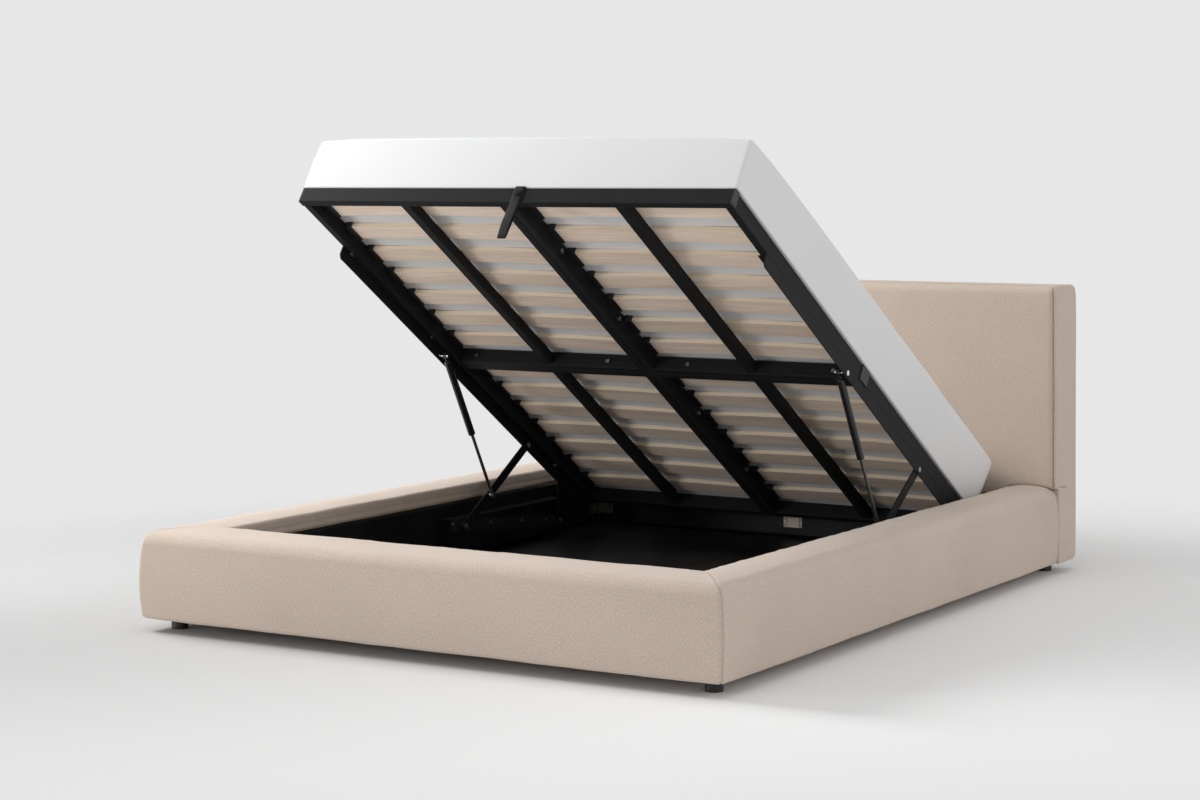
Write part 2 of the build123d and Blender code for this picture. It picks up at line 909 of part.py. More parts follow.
def slatting():
    """All slats, in a group for each quarter, and their holders, in one for each side."""
    strip = slat()
    ends = (holder(centre_side_x, 1), holder(inner_side_x, -1))
    all_holders = []
    for (s0, s1), end_name in zip(half_spans, ("foot", "head")):
        middle = (s0 + s1) / 2
        places = [
            middle + (i - (slats_per_half - 1) / 2) * slat_pitch for i in range(slats_per_half)
        ]
        strips = [Pos(s, 0, 0) * strip for s in places]
        all_holders += [Pos(s, 0, 0) * end for s in places for end in ends]
        write(f"slats_{end_name}_right", *[on_frame(shape) for shape in strips])
        write(f"slats_{end_name}_left", *[on_frame(mirrored_x(shape)) for shape in strips])
    write("slat_holders_right", *[on_frame(shape) for shape in all_holders])
    write("slat_holders_left", *[on_frame(mirrored_x(shape)) for shape in all_holders])


def pull_strap():
    """A webbing loop that hangs from the middle of the foot tube, with its bolt and washer."""
    thick = strap_layer * 2 + strap_gap
    near = -seat_gap
    far = near - thick
    high = tube_depth + strap_above
    low = -strap_hang
    outside = block(far, near, low, high, strap_x - strap_width / 2, strap_x + strap_width / 2)
    inside = block(
        far + strap_layer,
        near - strap_layer,
        low + strap_fold,
        high - strap_layer,
        strap_x - strap_width,
        strap_x + strap_width,
    )
    loop = outside - inside
    height = tube_depth - strap_bolt_drop
    spot = Pos(0, height, strap_x) * Rot(0, 90, 0)
    loop = loop - spot * Cylinder(bolt_radius + hole_clearance, thick + overrun)
    write("pull_strap", on_frame(loop))
    washer = extrude(Circle(strap_washer_radius), strap_washer)
    head = extrude(RegularPolygon(hex_radius, 6), -strap_bolt_head)
    shank = extrude(Circle(bolt_radius), strap_washer + thick + seat_gap)
    bolt = Pos(far - strap_washer, height, strap_x) * Rot(0, 90, 0) * (head + washer + shank)
    write("strap_bolt", on_frame(bolt))


def mattress():
    """A crowned mattress lying on the slats, hollow where its springs are."""
    low = slat_end_height + slat_thickness + slat_bow + seat_gap
    high = low + mattress_thickness
    half = frame_half + mattress_overhang
    length = frame_length - mattress_head_short
    edge = mattress_edge
    bulge = mattress_side_bulge
    slack = edge * (1 - cos(radians(45)))

    def outline(near, far):
        """A rounded section with a crowned top between two sides, as (across, up)."""
        left = near + bulge
        right = far - bulge
        shoulder = high - mattress_crown
        middle = ((near + far) / 2, high)
        side_height = (low + high) / 2
        with BuildLine() as line:
            base = Line((left + edge, low), (right - edge, low))
            turn_up = ThreePointArc(base @ 1, (right - slack, low + slack), (right, low + edge))
            face = ThreePointArc(turn_up @ 1, (far, side_height), (right, shoulder - edge))
            turn_in = ThreePointArc(
                face @ 1, (right - slack, shoulder - slack), (right - edge, shoulder)
            )
            top = ThreePointArc(turn_in @ 1, middle, (left + edge, shoulder))
            turn_out = ThreePointArc(
                top @ 1, (left + slack, shoulder - slack), (left, shoulder - edge)
            )
            face = ThreePointArc(turn_out @ 1, (near, side_height), (left, low + edge))
            ThreePointArc(face @ 1, (left + slack, low + slack), base @ 0)
        return make_face(line.line)

    along = Pos(0, 0, -half - overrun) * extrude(outline(0.0, length), 2 * (half + overrun))
    across_plane = Plane(origin=(-overrun, 0, 0), x_dir=(0, 0, 1), z_dir=(-1, 0, 0))
    across = extrude(across_plane * outline(-half, half), -(length + overrun * 2))
    plan = Pos(length / 2, 0, 0) * Rot(90, 0, 0) * RectangleRounded(length, half * 2, mattress_corner)
    upright = Pos(0, high + overrun, 0) * extrude(plan, high + overrun * 2, both=False)
    body = along & across
    inside = block(
        mattress_skin,
        length - mattress_skin,
        low + mattress_skin,
        high - mattress_skin - mattress_crown,
        mattress_skin - half,
        half - mattress_skin,
    )
    write("mattress", on_frame((body & upright) - inside))


# Lift mechanism
def flat_link(length, width, hole_at_start, hole_at_end):
    """A flat bar with round ends between two pivots, lying along +X from the first."""
    bar = extrude(Pos(length / 2, 0, 0) * SlotCenterToCenter(length, width), link_thickness)
    bar = Pos(0, 0, link_in_x) * bar
    hole = pivot_radius + pivot_clearance
    if hole_at_start:
        bar = bar - disc(0.0, half_width, hole)
    if hole_at_end:
        bar = bar - disc(0.0, half_width, hole, Vector(length, 0))
    return bar


def front_link():
    """The right front link with the stud that carries the strut's foot."""
    bar = flat_link(front_link_length, front_link_width, True, True)
    at = Vector(strut_foot_along, strut_foot_above)
    stud_end = strut_x + eye_width / 2 + washer_gap
    stud = disc(stud_end, link_in_x, stud_radius, at)
    washer = disc(link_in_x - collar, link_in_x, collar_radius, at)
    return side_view(bar + stud + washer, front_pivot, front_link_angle)


def rear_link():
    """The right rear link with the half of the open pivot that stays on it."""
    bar = flat_link(rear_link_length, rear_link_width, True, False)
    at = Vector(rear_link_length, 0)
    head = disc(link_in_x - pivot_head, link_in_x, pivot_head_radius, at)
    return side_view(bar + head, rear_pivot, rear_link_angle)


def base_pivot_pin(at):
    """A shouldered pin from the base bracket through a link."""
    shoulder = disc(link_out_x + washer_gap, plate_in_x, pivot_shoulder_radius, at)
    shaft = disc(link_in_x - washer_gap, plate_out_x, pivot_radius, at)
    head_end = link_in_x - washer_gap
    head = disc(head_end - pivot_head, head_end, pivot_head_radius, at)
    return shoulder + shaft + head


def frame_pivot_pin():
    """The pin through the angle rail and the front link."""
    at = Vector(front_pivot_s, -frame_pivot_drop)
    head_end = link_in_x - washer_gap
    shaft = disc(head_end, rail_out_x, pivot_radius, at)
    head = disc(head_end - pivot_head, head_end, pivot_head_radius, at)
    collar_disc = disc(link_out_x + washer_gap, rail_in_x, collar_radius, at)
    outer = disc(rail_out_x, rail_out_x + bracket_plate, hex_radius, at)
    return shaft + head + collar_disc + outer


def angle_rail():
    """The right angle rail under the frame, drilled for its pivots, strut stud and bolts."""
    start = rail_front_inset
    end = frame_length - rail_head_inset
    seat = block(
        start + rail_nose,
        end,
        -rail_sheet,
        0.0,
        rail_out_x - rail_seat_width,
        rail_out_x,
    )
    drop = block(start, end, -rail_drop, 0.0, rail_in_x, rail_out_x)
    corners = drop.edges().filter_by(Axis.Z).group_by(Axis.Y)[0]
    drop = chamfer(corners, rail_nose)
    rail = seat + drop
    rail = rail - disc(
        rail_in_x - overrun,
        rail_out_x + overrun,
        pivot_radius,
        Vector(front_pivot_s, -frame_pivot_drop),
    )
    top_at = Vector(frame_length - strut_ball_from_head, -strut_ball_drop)
    rail = rail - disc(rail_in_x - overrun, rail_out_x + overrun, stud_radius, top_at)
    return rail


def rail_bolts():
    """Hexagon heads that hold the angle rail up to the side tube."""
    bolts = []
    x = rail_out_x - rail_bolt_in_from_edge
    places = (
        rail_front_inset + rail_bolt_from_foot_end,
        half_frame - rail_bolt_from_middle,
        frame_length - rail_head_inset - rail_bolt_from_head_end,
    )
    for s in places:
        spot = Pos(s, -rail_sheet, x) * Rot(90, 0, 0)
        bolts.append(spot * extrude(RegularPolygon(hex_radius, 6), hex_head))
    return bolts


def rear_pivot_cap():
    """The half of the open rear pivot that stays on the angle rail."""
    at = Vector(rear_pivot_s, -frame_pivot_drop)
    return disc(rail_out_x, rail_out_x + bracket_plate, hex_radius, at)


def strut_stud():
    """The stud on the angle rail that carries the strut's upper eye."""
    at = Vector(frame_length - strut_ball_from_head, -strut_ball_drop)
    tip_end = strut_x - eye_width / 2 - washer_gap
    shaft = disc(tip_end, rail_out_x, stud_radius, at)
    tip = disc(tip_end - stud_tip, tip_end, stud_tip_radius, at)
    collar_disc = disc(rail_in_x - collar, rail_in_x, collar_radius, at)
    outer = disc(rail_out_x, rail_out_x + bracket_plate, hex_radius, at)
    return shaft + tip + collar_disc + outer


def base_plate():
    """The right base bracket: a plate along the batten with two stop tabs."""
    slope = bearing(front_pivot, rear_pivot)
    spacing = (rear_pivot - front_pivot).length
    plate = block(
        -plate_overrun_foot,
        spacing + plate_overrun_head,
        -plate_height / 2,
        plate_height / 2,
        plate_in_x,
        plate_out_x,
    )
    plate = chamfer(plate.edges().filter_by(Axis.Z), plate_chamfer)
    for along in (0.0, spacing):
        plate = plate - disc(plate_in_x - overrun, plate_out_x + overrun, pivot_radius, Vector(along, 0))
        plate = plate + block(
            along - stop_tab_offset - stop_tab_thickness,
            along - stop_tab_offset,
            -stop_tab_height / 2,
            stop_tab_height / 2,
            plate_in_x - stop_tab_reach,
            plate_in_x,
        )
    for step in plate_bolt_steps():
        plate = plate - disc(
            plate_in_x - overrun,
            plate_out_x + overrun,
            screw_radius + hole_clearance,
            Vector(step, plate_bolt_offset),
        )
    return side_view(plate, front_pivot, slope)


def batten():
    """The timber that packs the base bracket off the lining."""
    y0 = front_pivot.X - plate_overrun_foot
    y1 = rear_pivot.X + plate_overrun_head
    z0 = rear_pivot.Y - batten_below
    z1 = front_pivot.Y + batten_above
    body = block(plate_out_x, lining_x, y0, y1, z0, z1)
    slope = bearing(front_pivot, rear_pivot)
    for step in plate_bolt_steps():
        hole = disc(
            plate_out_x - overrun,
            plate_out_x + screw_depth + seat_gap,
            screw_radius + hole_clearance,
            Vector(step, plate_bolt_offset),
        )
        body = body - side_view(hole, front_pivot, slope)
    return body


def plate_screws():
    """The screws that hold the right base bracket to its batten."""
    slope = bearing(front_pivot, rear_pivot)
    screws = []
    for step in plate_bolt_steps():
        at = Vector(step, plate_bolt_offset)
        head = disc(plate_in_x - screw_head, plate_in_x, screw_head_radius, at)
        shank = disc(plate_in_x, plate_out_x + screw_depth, screw_radius, at)
        screws.append(side_view(head + shank, front_pivot, slope))
    return screws


def turned(points):
    """A solid of revolution about +X through 0, from (x, radius) points."""
    outline = Polyline(*points, close=True)
    return revolve(make_face(outline), Axis.X)


def strut_cylinder():
    """The right strut's black cylinder with its upper eye."""
    start = cylinder_start
    end = cylinder_start + cylinder_length
    bore_start = start + cylinder_cap
    bore_end = end - cylinder_cap
    gland = rod_radius + rod_clearance
    tube_body = turned(
        [
            (start, 0.0),
            (start, cylinder_radius - cylinder_edge),
            (start + cylinder_edge, cylinder_radius),
            (end - cylinder_edge, cylinder_radius),
            (end, cylinder_radius - cylinder_edge),
            (end, gland),
            (bore_end, gland),
            (bore_end, cylinder_bore),
            (bore_start, cylinder_bore),
            (bore_start, 0.0),
        ]
    )
    neck = turned([(0.0, 0.0), (0.0, neck_radius), (start, neck_radius), (start, 0.0)])
    eye = disc(-eye_width / 2, eye_width / 2, eye_radius)
    body = neck + eye + tube_body
    body = body - disc(-overrun, overrun, stud_radius + stud_clearance)
    return side_view(Pos(0, 0, strut_x) * body, strut_top, strut_angle)


def strut_rod():
    """The right strut's rod with its piston and lower eye."""
    end = strut_length
    piston_end = cylinder_start + cylinder_length - cylinder_cap - rod_clearance
    piston_start = piston_end - piston_length
    piston = cylinder_bore - piston_clearance
    fitting = end - rod_fitting
    shape = turned(
        [
            (piston_start, 0.0),
            (piston_start, piston),
            (piston_end, piston),
            (piston_end, rod_radius),
            (fitting, rod_radius),
            (fitting, neck_radius),
            (end, neck_radius),
            (end, 0.0),
        ]
    )
    eye = disc(-eye_width / 2, eye_width / 2, eye_radius, Vector(end, 0))
    return side_view(Pos(0, 0, strut_x) * (shape + eye), strut_top, strut_angle)


def mechanism():
    """The lift linkage of both sides."""
    pairs = {
        "front_link": [front_link()],
        "rear_link": [rear_link()],
        "base_bracket": [base_plate()],
        "angle_rail": [on_frame(angle_rail())],
        "strut_cylinder": [strut_cylinder()],
        "strut_rod": [strut_rod()],
    }
    for name, shapes in pairs.items():
        write(f"{name}_right", *shapes)
        write(f"{name}_left", *[mirrored(shape) for shape in shapes])
    groups = {
        "base_pivot_pins": [side_view(base_pivot_pin(at)) for at in (front_pivot, rear_pivot)],
        "bracket_battens": [batten()],
        "bracket_bolts": plate_screws(),
        "frame_pivot_pins": [on_frame(frame_pivot_pin()), on_frame(rear_pivot_cap())],
        "strut_studs": [on_frame(strut_stud())],
        "angle_rail_bolts": [on_frame(bolt) for bolt in rail_bolts()],
    }
    for name, shapes in groups.items():
        write(name, *shapes, *[mirrored(shape) for shape in shapes])


rails()
headboard()
storage_box()
feet()
box_hardware()
frame_steel()
slatting()
pull_strap()
mattress()
mechanism()
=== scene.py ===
import json
from math import cos, pi, radians, sin, tau

import bmesh
import bpy
import numpy as np
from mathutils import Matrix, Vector, noise


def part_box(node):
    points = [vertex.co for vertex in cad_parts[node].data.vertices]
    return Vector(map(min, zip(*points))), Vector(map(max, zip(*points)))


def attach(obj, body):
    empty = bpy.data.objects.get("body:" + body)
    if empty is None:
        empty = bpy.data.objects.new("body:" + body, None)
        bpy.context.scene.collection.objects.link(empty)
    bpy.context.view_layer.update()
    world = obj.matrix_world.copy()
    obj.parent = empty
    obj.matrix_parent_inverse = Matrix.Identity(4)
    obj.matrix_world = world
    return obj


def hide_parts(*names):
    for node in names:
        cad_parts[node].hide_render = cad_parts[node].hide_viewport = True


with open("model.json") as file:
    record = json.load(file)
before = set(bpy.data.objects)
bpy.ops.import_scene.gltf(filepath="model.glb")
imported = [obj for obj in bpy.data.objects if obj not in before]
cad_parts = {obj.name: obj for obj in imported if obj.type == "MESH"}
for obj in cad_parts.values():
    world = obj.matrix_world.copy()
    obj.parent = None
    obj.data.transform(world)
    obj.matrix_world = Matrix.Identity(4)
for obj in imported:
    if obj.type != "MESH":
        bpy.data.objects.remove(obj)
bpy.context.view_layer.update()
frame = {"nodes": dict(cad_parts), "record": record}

# Metres. The lift frame slopes down towards the head. Its own directions are s along it, x across it and
# n square to it.
LIFT_SLOPE = radians(32.9)
ALONG = np.array((0.0, cos(LIFT_SLOPE), -sin(LIFT_SLOPE)))
ACROSS = np.array((1.0, 0.0, 0.0))
UP = np.array((0.0, sin(LIFT_SLOPE), cos(LIFT_SLOPE)))

# Padded rails
CLOTH_THICKNESS = 0.003
PUFF = 0.006  # how far the cover stands out past the solid on each side
TOP_EDGE_RADIUS = 0.034
INNER_EDGE_RADIUS = 0.006
BOTTOM_EDGE_RADIUS = 0.012
FACE_BULGE = 0.006
TOP_CROWN = 0.002
RAIL_CROWN = 0.010
CROWN_MIDDLE_SHARE = 0.42
CROWN_REACH_SHARE = 0.75
LIP_DEPTH = 0.045
LIP_THICKNESS = 0.004
CORNER_RADIUS = 0.014
HEM_HEIGHT = 0.240
HEM_DEPTH = 0.0016
HEM_WIDTH = 0.0022
SECTION_STEP = 0.004
LENGTH_STEP = 0.014
SEAM_STEPS = (0.0, 0.0008, 0.0016, 0.0026, 0.004, 0.006, 0.009, 0.0135, 0.02, 0.03)
SEAM_DEPTH = 0.0022
SEAM_WIDTH = 0.0024
RAIL_SWELLS = ((0.16, 0.0016, 0.0), (0.045, 0.0005, 7.0))  # each (size, height, seed)
LIP_SWELL = (0.03, 0.0022, 3.0)

# Headboard: the border's corner radii go round its side outline, from the front edge over the rails
BORDER_CORNERS = (0.006, 0.001, 0.012, 0.026, 0.042, 0.014)
BORDER_STEP = 0.008
BORDER_EDGE_RADIUS = 0.007
BORDER_BULGE = 0.002
BORDER_SWELLS = ((0.2, 0.0014, 61.0),)
BORDER_SPINE_ENDS = (0.075, 0.085)
OVER_RAIL_HEIGHT, OVER_RAIL_WIDTH = 0.12, 0.08  # reach of the rails' crowned tops into the border
RAIL_GAP = 0.0005
RIM_WIDTH = 0.007
RIM_DROP = 0.002
RIM_SET_BACK = 0.010
RECESS_DEPTH = 0.004
RECESS_EDGE = (0.0004, 0.001, 0.0016)  # stations before, at and past the recess's side, in from the rim
PAD_CROWN = 0.009
PAD_SIDE_ROLL = 0.020
PAD_TOP_ROLL = 0.026
PAD_FOOT_ROLL = 0.010
PAD_STEP = 0.014
PAD_ROW_SHARE = 0.02
PAD_LAP = 0.002
NOTCH_SPLIT = 0.0006
PAD_SWELLS = ((0.22, 0.0022, 83.0), (0.06, 0.0006, 87.0))

# Mattress: it fits its solid with these differences, and its corner radii run foot, head, head, foot
MATTRESS_SINK = 0.0032
MATTRESS_SHOULDER = 0.008
MATTRESS_FULLER = 0.002
MATTRESS_CORNERS = (0.009, 0.056, 0.056, 0.009)
MATTRESS_STEP = 0.006
MATTRESS_LOW_EDGE, MATTRESS_HIGH_EDGE = 0.005, 0.014
MATTRESS_BULGE = 0.002
MATTRESS_CROWN = 0.006
MATTRESS_HOLLOW = 0.003
MATTRESS_SPINE_INSET = 0.6
MATTRESS_LEAN = 0.043
MATTRESS_SWELLS = ((0.35, 0.0016, 101.0), (0.09, 0.0006, 107.0))
FOOT_DROP, SIDE_DROP, RIGHT_DROP, EDGE_DROP = 0.0046, 0.0045, 0.0047, 0.0055
FOOT_RISE, HEAD_RISE = 0.0108, 0.010
RIGHT_REACH, FOOT_REACH = 0.16, 0.08

# Lining, strap and welds
LINING_STEPS = (0.03, 0.012)
LINING_THICKNESS = 0.0009
LINING_SWELLS = ((0.12, 0.55, 0.0), (0.035, 0.2, 5.0))  # each (size, share of the thickness, seed)
LININGS = (("lining_left", 3.0), ("lining_right", 13.0), ("lining_foot", 23.0), ("lining_head", 33.0))
STRAP_LAYER = 0.0016
STRAP_STEP = 0.004
STRAP_TIP = 0.004
STRAP_OFFSET, STRAP_FRONT_LEAN, STRAP_BACK_LEAN = 0.005, 0.02, 0.065
STRAP_TAPER, STRAP_TAPER_REACH = 0.14, 0.006
STRAP_BULK, STRAP_BULK_HEIGHT, STRAP_BULK_REACH = 0.0035, 0.05, 0.03
STRAP_CUP = 0.0006
WELD_RADIUS = 0.0022
WELD_INSET = 0.001
WELD_RIPPLE = 0.0042
WELD_THIN, WELD_LUMP = 0.82, 0.18
WELD_STEP = 0.0012
WELD_SIDES = 10

# Camera, solved from the rectangular base and the level floor
CAMERA_PLACE = (3.6973, -6.4134, 1.2244)
CAMERA_YAW = radians(30.9156)
CAMERA_LENS = 75.40
CAMERA_SENSOR = 36.0
CAMERA_SHIFT_Y = -0.1822

# Floor: painted shade, darker round a place on the left where the left lamps' pool of light falls, and fading
# into the backdrop away from the bed. A reach is (start, end).
BACKDROP = (0.80, 0.80, 0.80)
FLOOR = (0.86, 0.86, 0.86)
FLOOR_PAINTED_SHADE = (0.44, 0.44, 0.44)
FLOOR_SHADE_PLACE, FLOOR_SHADE_REACH = (-1.9, -0.6, 0.0), (0.9, 3.4)
FADE_PLACE, FADE_REACH = (0.9, -0.7, 0.0), (1.9, 4.0)
FLOOR_RADIUS = 9.0
FLOOR_RINGS, FLOOR_SPOKES = 10, 48

# Lamps: (name, place, aim, size, power, spread in degrees)
WORLD_LIGHT = 0.506
LAMPS = (
    ("left_high", (-3.3, -0.9, 2.4), (0.0, -0.1, 0.35), 1.8, 57.0, 105.0),
    ("left_low", (-2.9, -4.3, 0.75), (0.0, -0.2, 0.5), 1.3, 64.0, 180.0),
    ("right", (6.2, -0.6, 2.6), (0.0, 0.0, 0.4), 4.0, 80.0, 180.0),
    ("top", (0.5, -0.5, 6.5), (0.0, 0.0, 0.4), 5.0, 65.0, 180.0),
)


# Mesh building
def smoothstep(low, high, value):
    """0 below low, 1 above high and a smooth rise between."""
    t = np.clip((value - low) / (high - low), 0.0, 1.0)
    return t * t * (3.0 - 2.0 * t)


def bulged(share):
    """1 in the middle of a 0 to 1 span and 0 at its ends."""
    return 4.0 * share * (1.0 - share)


def arc(centre, radius, start, end, steps=12):
    """Points of an arc between two angles."""
    angles = np.linspace(start, end, steps)
    return [(centre[0] + radius * cos(a), centre[1] + radius * sin(a)) for a in angles]


def bow(start, end, rise, steps=24):
    """Points of a shallow curve that leaves the chord by rise, to its left."""
    a, b = np.array(start), np.array(end)
    side = np.array((a[1] - b[1], b[0] - a[0])) / np.linalg.norm(b - a)
    shares = np.linspace(0.0, 1.0, steps)
    return [tuple(a + (b - a) * t + side * rise * bulged(t)) for t in shares]


def run_along(points):
    """The distance of each point from the first, along the line."""
    return np.concatenate([[0.0], np.cumsum(np.linalg.norm(np.diff(points, axis=0), axis=1))])


def evenly(points, step, closed=False):
    """The same line with points about one step apart."""
    line = np.array(points, float)
    if closed:
        line = np.vstack([line, line[:1]])
    steps = np.linalg.norm(np.diff(line, axis=0), axis=1)
    line = line[np.concatenate([[True], steps > 1e-9])]
    run = run_along(line)
    count = max(2, round(run[-1] / step))
    at = np.linspace(0.0, run[-1], count + 1)[: count if closed else count + 1]
    return np.stack([np.interp(at, run, line[:, k]) for k in range(line.shape[1])], axis=1)


def normals_of(grid):
    """Unit normals of a grid of points."""
    across = np.gradient(grid, axis=0)
    along = np.gradient(grid, axis=1)
    normal = np.cross(across, along)
    return normal / np.maximum(np.linalg.norm(normal, axis=2, keepdims=True), 1e-12)


def ripple(grid, size, height, seed, stretch=(1.0, 1.0, 1.0)):
    """Smooth unevenness of about that height at each point, with bumps of about that size."""
    flat = grid.reshape(-1, 3) / size * np.array(stretch) + seed
    values = np.array([noise.noise(Vector(p)) for p in flat])
    return (values * height).reshape(grid.shape[:-1])


def swells(grid, layers, seed=0.0, stretch=(1.0, 1.0, 1.0)):
    """Several ripples together, each (size, height, seed)."""
    return sum(ripple(grid, size, height, seed + own, stretch) for size, height, own in layers)


def mesh_piece(name, vertices, faces, uvs=None):
    """An object with smooth faces and, where given, one UV place in metres for each vertex."""
    mesh = bpy.data.meshes.new(name)
    mesh.from_pydata([tuple(v) for v in vertices], [], faces)
    mesh.validate()
    if uvs is not None:
        layer = mesh.uv_layers.new(name="cloth")
        corners = np.zeros(len(mesh.loops), dtype=np.int32)
        mesh.loops.foreach_get("vertex_index", corners)
        layer.data.foreach_set("uv", np.array(uvs, np.float32)[corners].ravel())
    mesh.polygons.foreach_set("use_smooth", [True] * len(mesh.polygons))
    piece = bpy.data.objects.new(name, mesh)
    bpy.context.scene.collection.objects.link(piece)
    return piece


def grid_faces(rows, columns, close_rows=False, close_columns=False, start=0):
    """Quads between the points of a grid, row by row."""
    faces = []
    for i in range(rows if close_rows else rows - 1):
        for j in range(columns if close_columns else columns - 1):
            a, b = i * columns, (i + 1) % rows * columns
            c = (j + 1) % columns
            faces.append((start + a + j, start + b + j, start + b + c, start + a + c))
    return faces


def thicken(piece, thickness, offset=-1.0):
    """Gives a sheet its thickness."""
    shell = piece.modifiers.new("thickness", "SOLIDIFY")
    shell.thickness = thickness
    shell.offset = offset
    return piece


def finished(piece, body, slot, paint, *nodes):
    """Puts a new piece on its body, in place of CAD nodes, with its material."""
    piece.data.materials.append(paint)
    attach(piece, body)
    if nodes:
        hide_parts(*nodes)
    return piece


# Materials
class Shader:
    """A node material with one Principled shader."""

    def __init__(self, name, roughness, metallic=0.0):
        self.material = bpy.data.materials.new(name)
        self.material.use_nodes = True
        self.tree = self.material.node_tree
        self.out = self.tree.nodes["Principled BSDF"]
        self.out.inputs["Roughness"].default_value = roughness
        self.out.inputs["Metallic"].default_value = metallic

    def add(self, kind, inputs=(), **settings):
        """A node with its settings, constant values set on its sockets, and links made to it."""
        node = self.tree.nodes.new(kind)
        for key, value in settings.items():
            setattr(node, key, value)
        for key, value in dict(inputs).items():
            if isinstance(value, bpy.types.NodeSocket):
                self.tree.links.new(value, node.inputs[key])
            else:
                node.inputs[key].default_value = value
        return node

    def place(self, space, scale=(1.0, 1.0, 1.0), rotation=(0.0, 0.0, 0.0)):
        """Texture coordinates: UV or Object, in metres, scaled after a turn."""
        source = self.add("ShaderNodeTexCoord").outputs[space]
        turned = self.add("ShaderNodeMapping", {"Vector": source, "Rotation": rotation})
        scaled = self.add("ShaderNodeVectorMath", {0: turned.outputs[0], 1: scale}, operation="MULTIPLY")
        return scaled.outputs[0]

    def noise(self, where, detail=3.0, roughness=0.5):
        """Noise on scaled texture coordinates."""
        inputs = {"Vector": where, "Scale": 1.0, "Detail": detail, "Roughness": roughness}
        return self.add("ShaderNodeTexNoise", inputs).outputs["Fac"]

    def speckle(self, scale, detail=3.0, roughness=0.5):
        """Even noise in object space, with that many waves to the metre."""
        return self.noise(self.place("Object", (scale, scale, scale)), detail, roughness)

    def wave(self, scale, direction, **inputs):
        """Bands on the UV places."""
        values = {"Vector": self.place("UV"), "Scale": scale}
        values.update({key.replace("_", " ").title(): value for key, value in inputs.items()})
        return self.add("ShaderNodeTexWave", values, bands_direction=direction).outputs["Fac"]

    def ramp(self, factor, *stops):
        """A colour ramp with (spot, colour) stops."""
        node = self.add("ShaderNodeValToRGB", {"Fac": factor})
        marks = node.color_ramp.elements
        while len(marks) < len(stops):
            marks.new(0.5)
        for mark, (spot, colour) in zip(marks, stops):
            mark.position = spot
            mark.color = (*colour, 1.0)
        return node.outputs["Color"]

    def mix(self, factor, a, b, blend="MIX"):
        """Two colours mixed."""
        node = self.add("ShaderNodeMix", data_type="RGBA", blend_type=blend)
        for key, value in ((0, factor), (6, a), (7, b)):
            if isinstance(value, bpy.types.NodeSocket):
                self.tree.links.new(value, node.inputs[key])
            else:
                node.inputs[key].default_value = value if key == 0 else (*value, 1.0)
        return node.outputs[2]

    def math(self, operation, a, b=0.0):
        """A sum, product or other result of two values."""
        return self.add("ShaderNodeMath", {0: a, 1: b}, operation=operation).outputs[0]

    def beyond(self, place, reach):
        """0 up to a distance from a place, 1 past a farther one, and a smooth change between."""
        inputs = {0: self.place("Object"), 1: place}
        away = self.add("ShaderNodeVectorMath", inputs, operation="DISTANCE").outputs["Value"]
        inputs = {0: away, 1: reach[0], 2: reach[1]}
        return self.add("ShaderNodeMapRange", inputs, interpolation_type="SMOOTHSTEP").outputs[0]

    def span(self, value, low, high):
        """A 0 to 1 value taken to a range."""
        return self.add("ShaderNodeMapRange", {0: value, 3: low, 4: high}).outputs[0]

    def colour(self, socket):
        """Sets the colour."""
        self.tree.links.new(socket, self.out.inputs["Base Color"])

    def rough(self, socket):
        """Sets the roughness."""
        self.tree.links.new(socket, self.out.inputs["Roughness"])

    def surface(self, **values):
        """Sets constant values on the shader, by their sockets' names with underscores."""
        for key, value in values.items():
            self.out.inputs[key.replace("_", " ")].default_value = value

    def bump(self, *layers):
        """Adds bumps, each (height, strength, distance)."""
        below = None
        for height, strength, distance in layers:
            inputs = {"Height": height, "Strength": strength, "Distance": distance}
            if below is not None:
                inputs["Normal"] = below
            below = self.add("ShaderNodeBump", inputs).outputs[0]
        self.tree.links.new(below, self.out.inputs["Normal"])


# Colours are (spot on a ramp, linear colour), and scales are waves to the metre
LINEN_YARNS = (
    (0.30, (0.316, 0.240, 0.180)),
    (0.44, (0.484, 0.394, 0.321)),
    (0.56, (0.609, 0.516, 0.442)),
    (0.72, (0.790, 0.721, 0.650)),
)
LINEN_HUES = ((0.38, (0.96, 0.985, 1.03)), (0.62, (1.05, 0.995, 0.945)))
LINEN_SHADES = ((0.35, (0.955, 0.955, 0.955)), (0.65, (1.03, 1.03, 1.03)))
YARN_ACROSS, YARN_ALONG, YARN_FLECKS, YARN_BLOTCHES = 900.0, 170.0, 330.0, 95.0
YARN_SHARE, FLECK_SHARE = 0.34, 0.32
WEAVE_SCALE = 175.0
BIRCH_FACE = ((0.30, (0.790, 0.635, 0.505)), (0.5, (0.915, 0.780, 0.660)), (0.72, (0.960, 0.855, 0.750)))
BIRCH_FIGURE = ((0.35, (0.93, 0.90, 0.88)), (0.65, (1.05, 1.03, 1.0)))
BIRCH_BOARDS = ((0.35, (0.92, 0.90, 0.88)), (0.65, (1.06, 1.06, 1.06)))
BIRCH_PLIES = ((0.3, (0.800, 0.620, 0.440)), (0.7, (0.950, 0.850, 0.700)))
PLY_PITCH = 0.0026


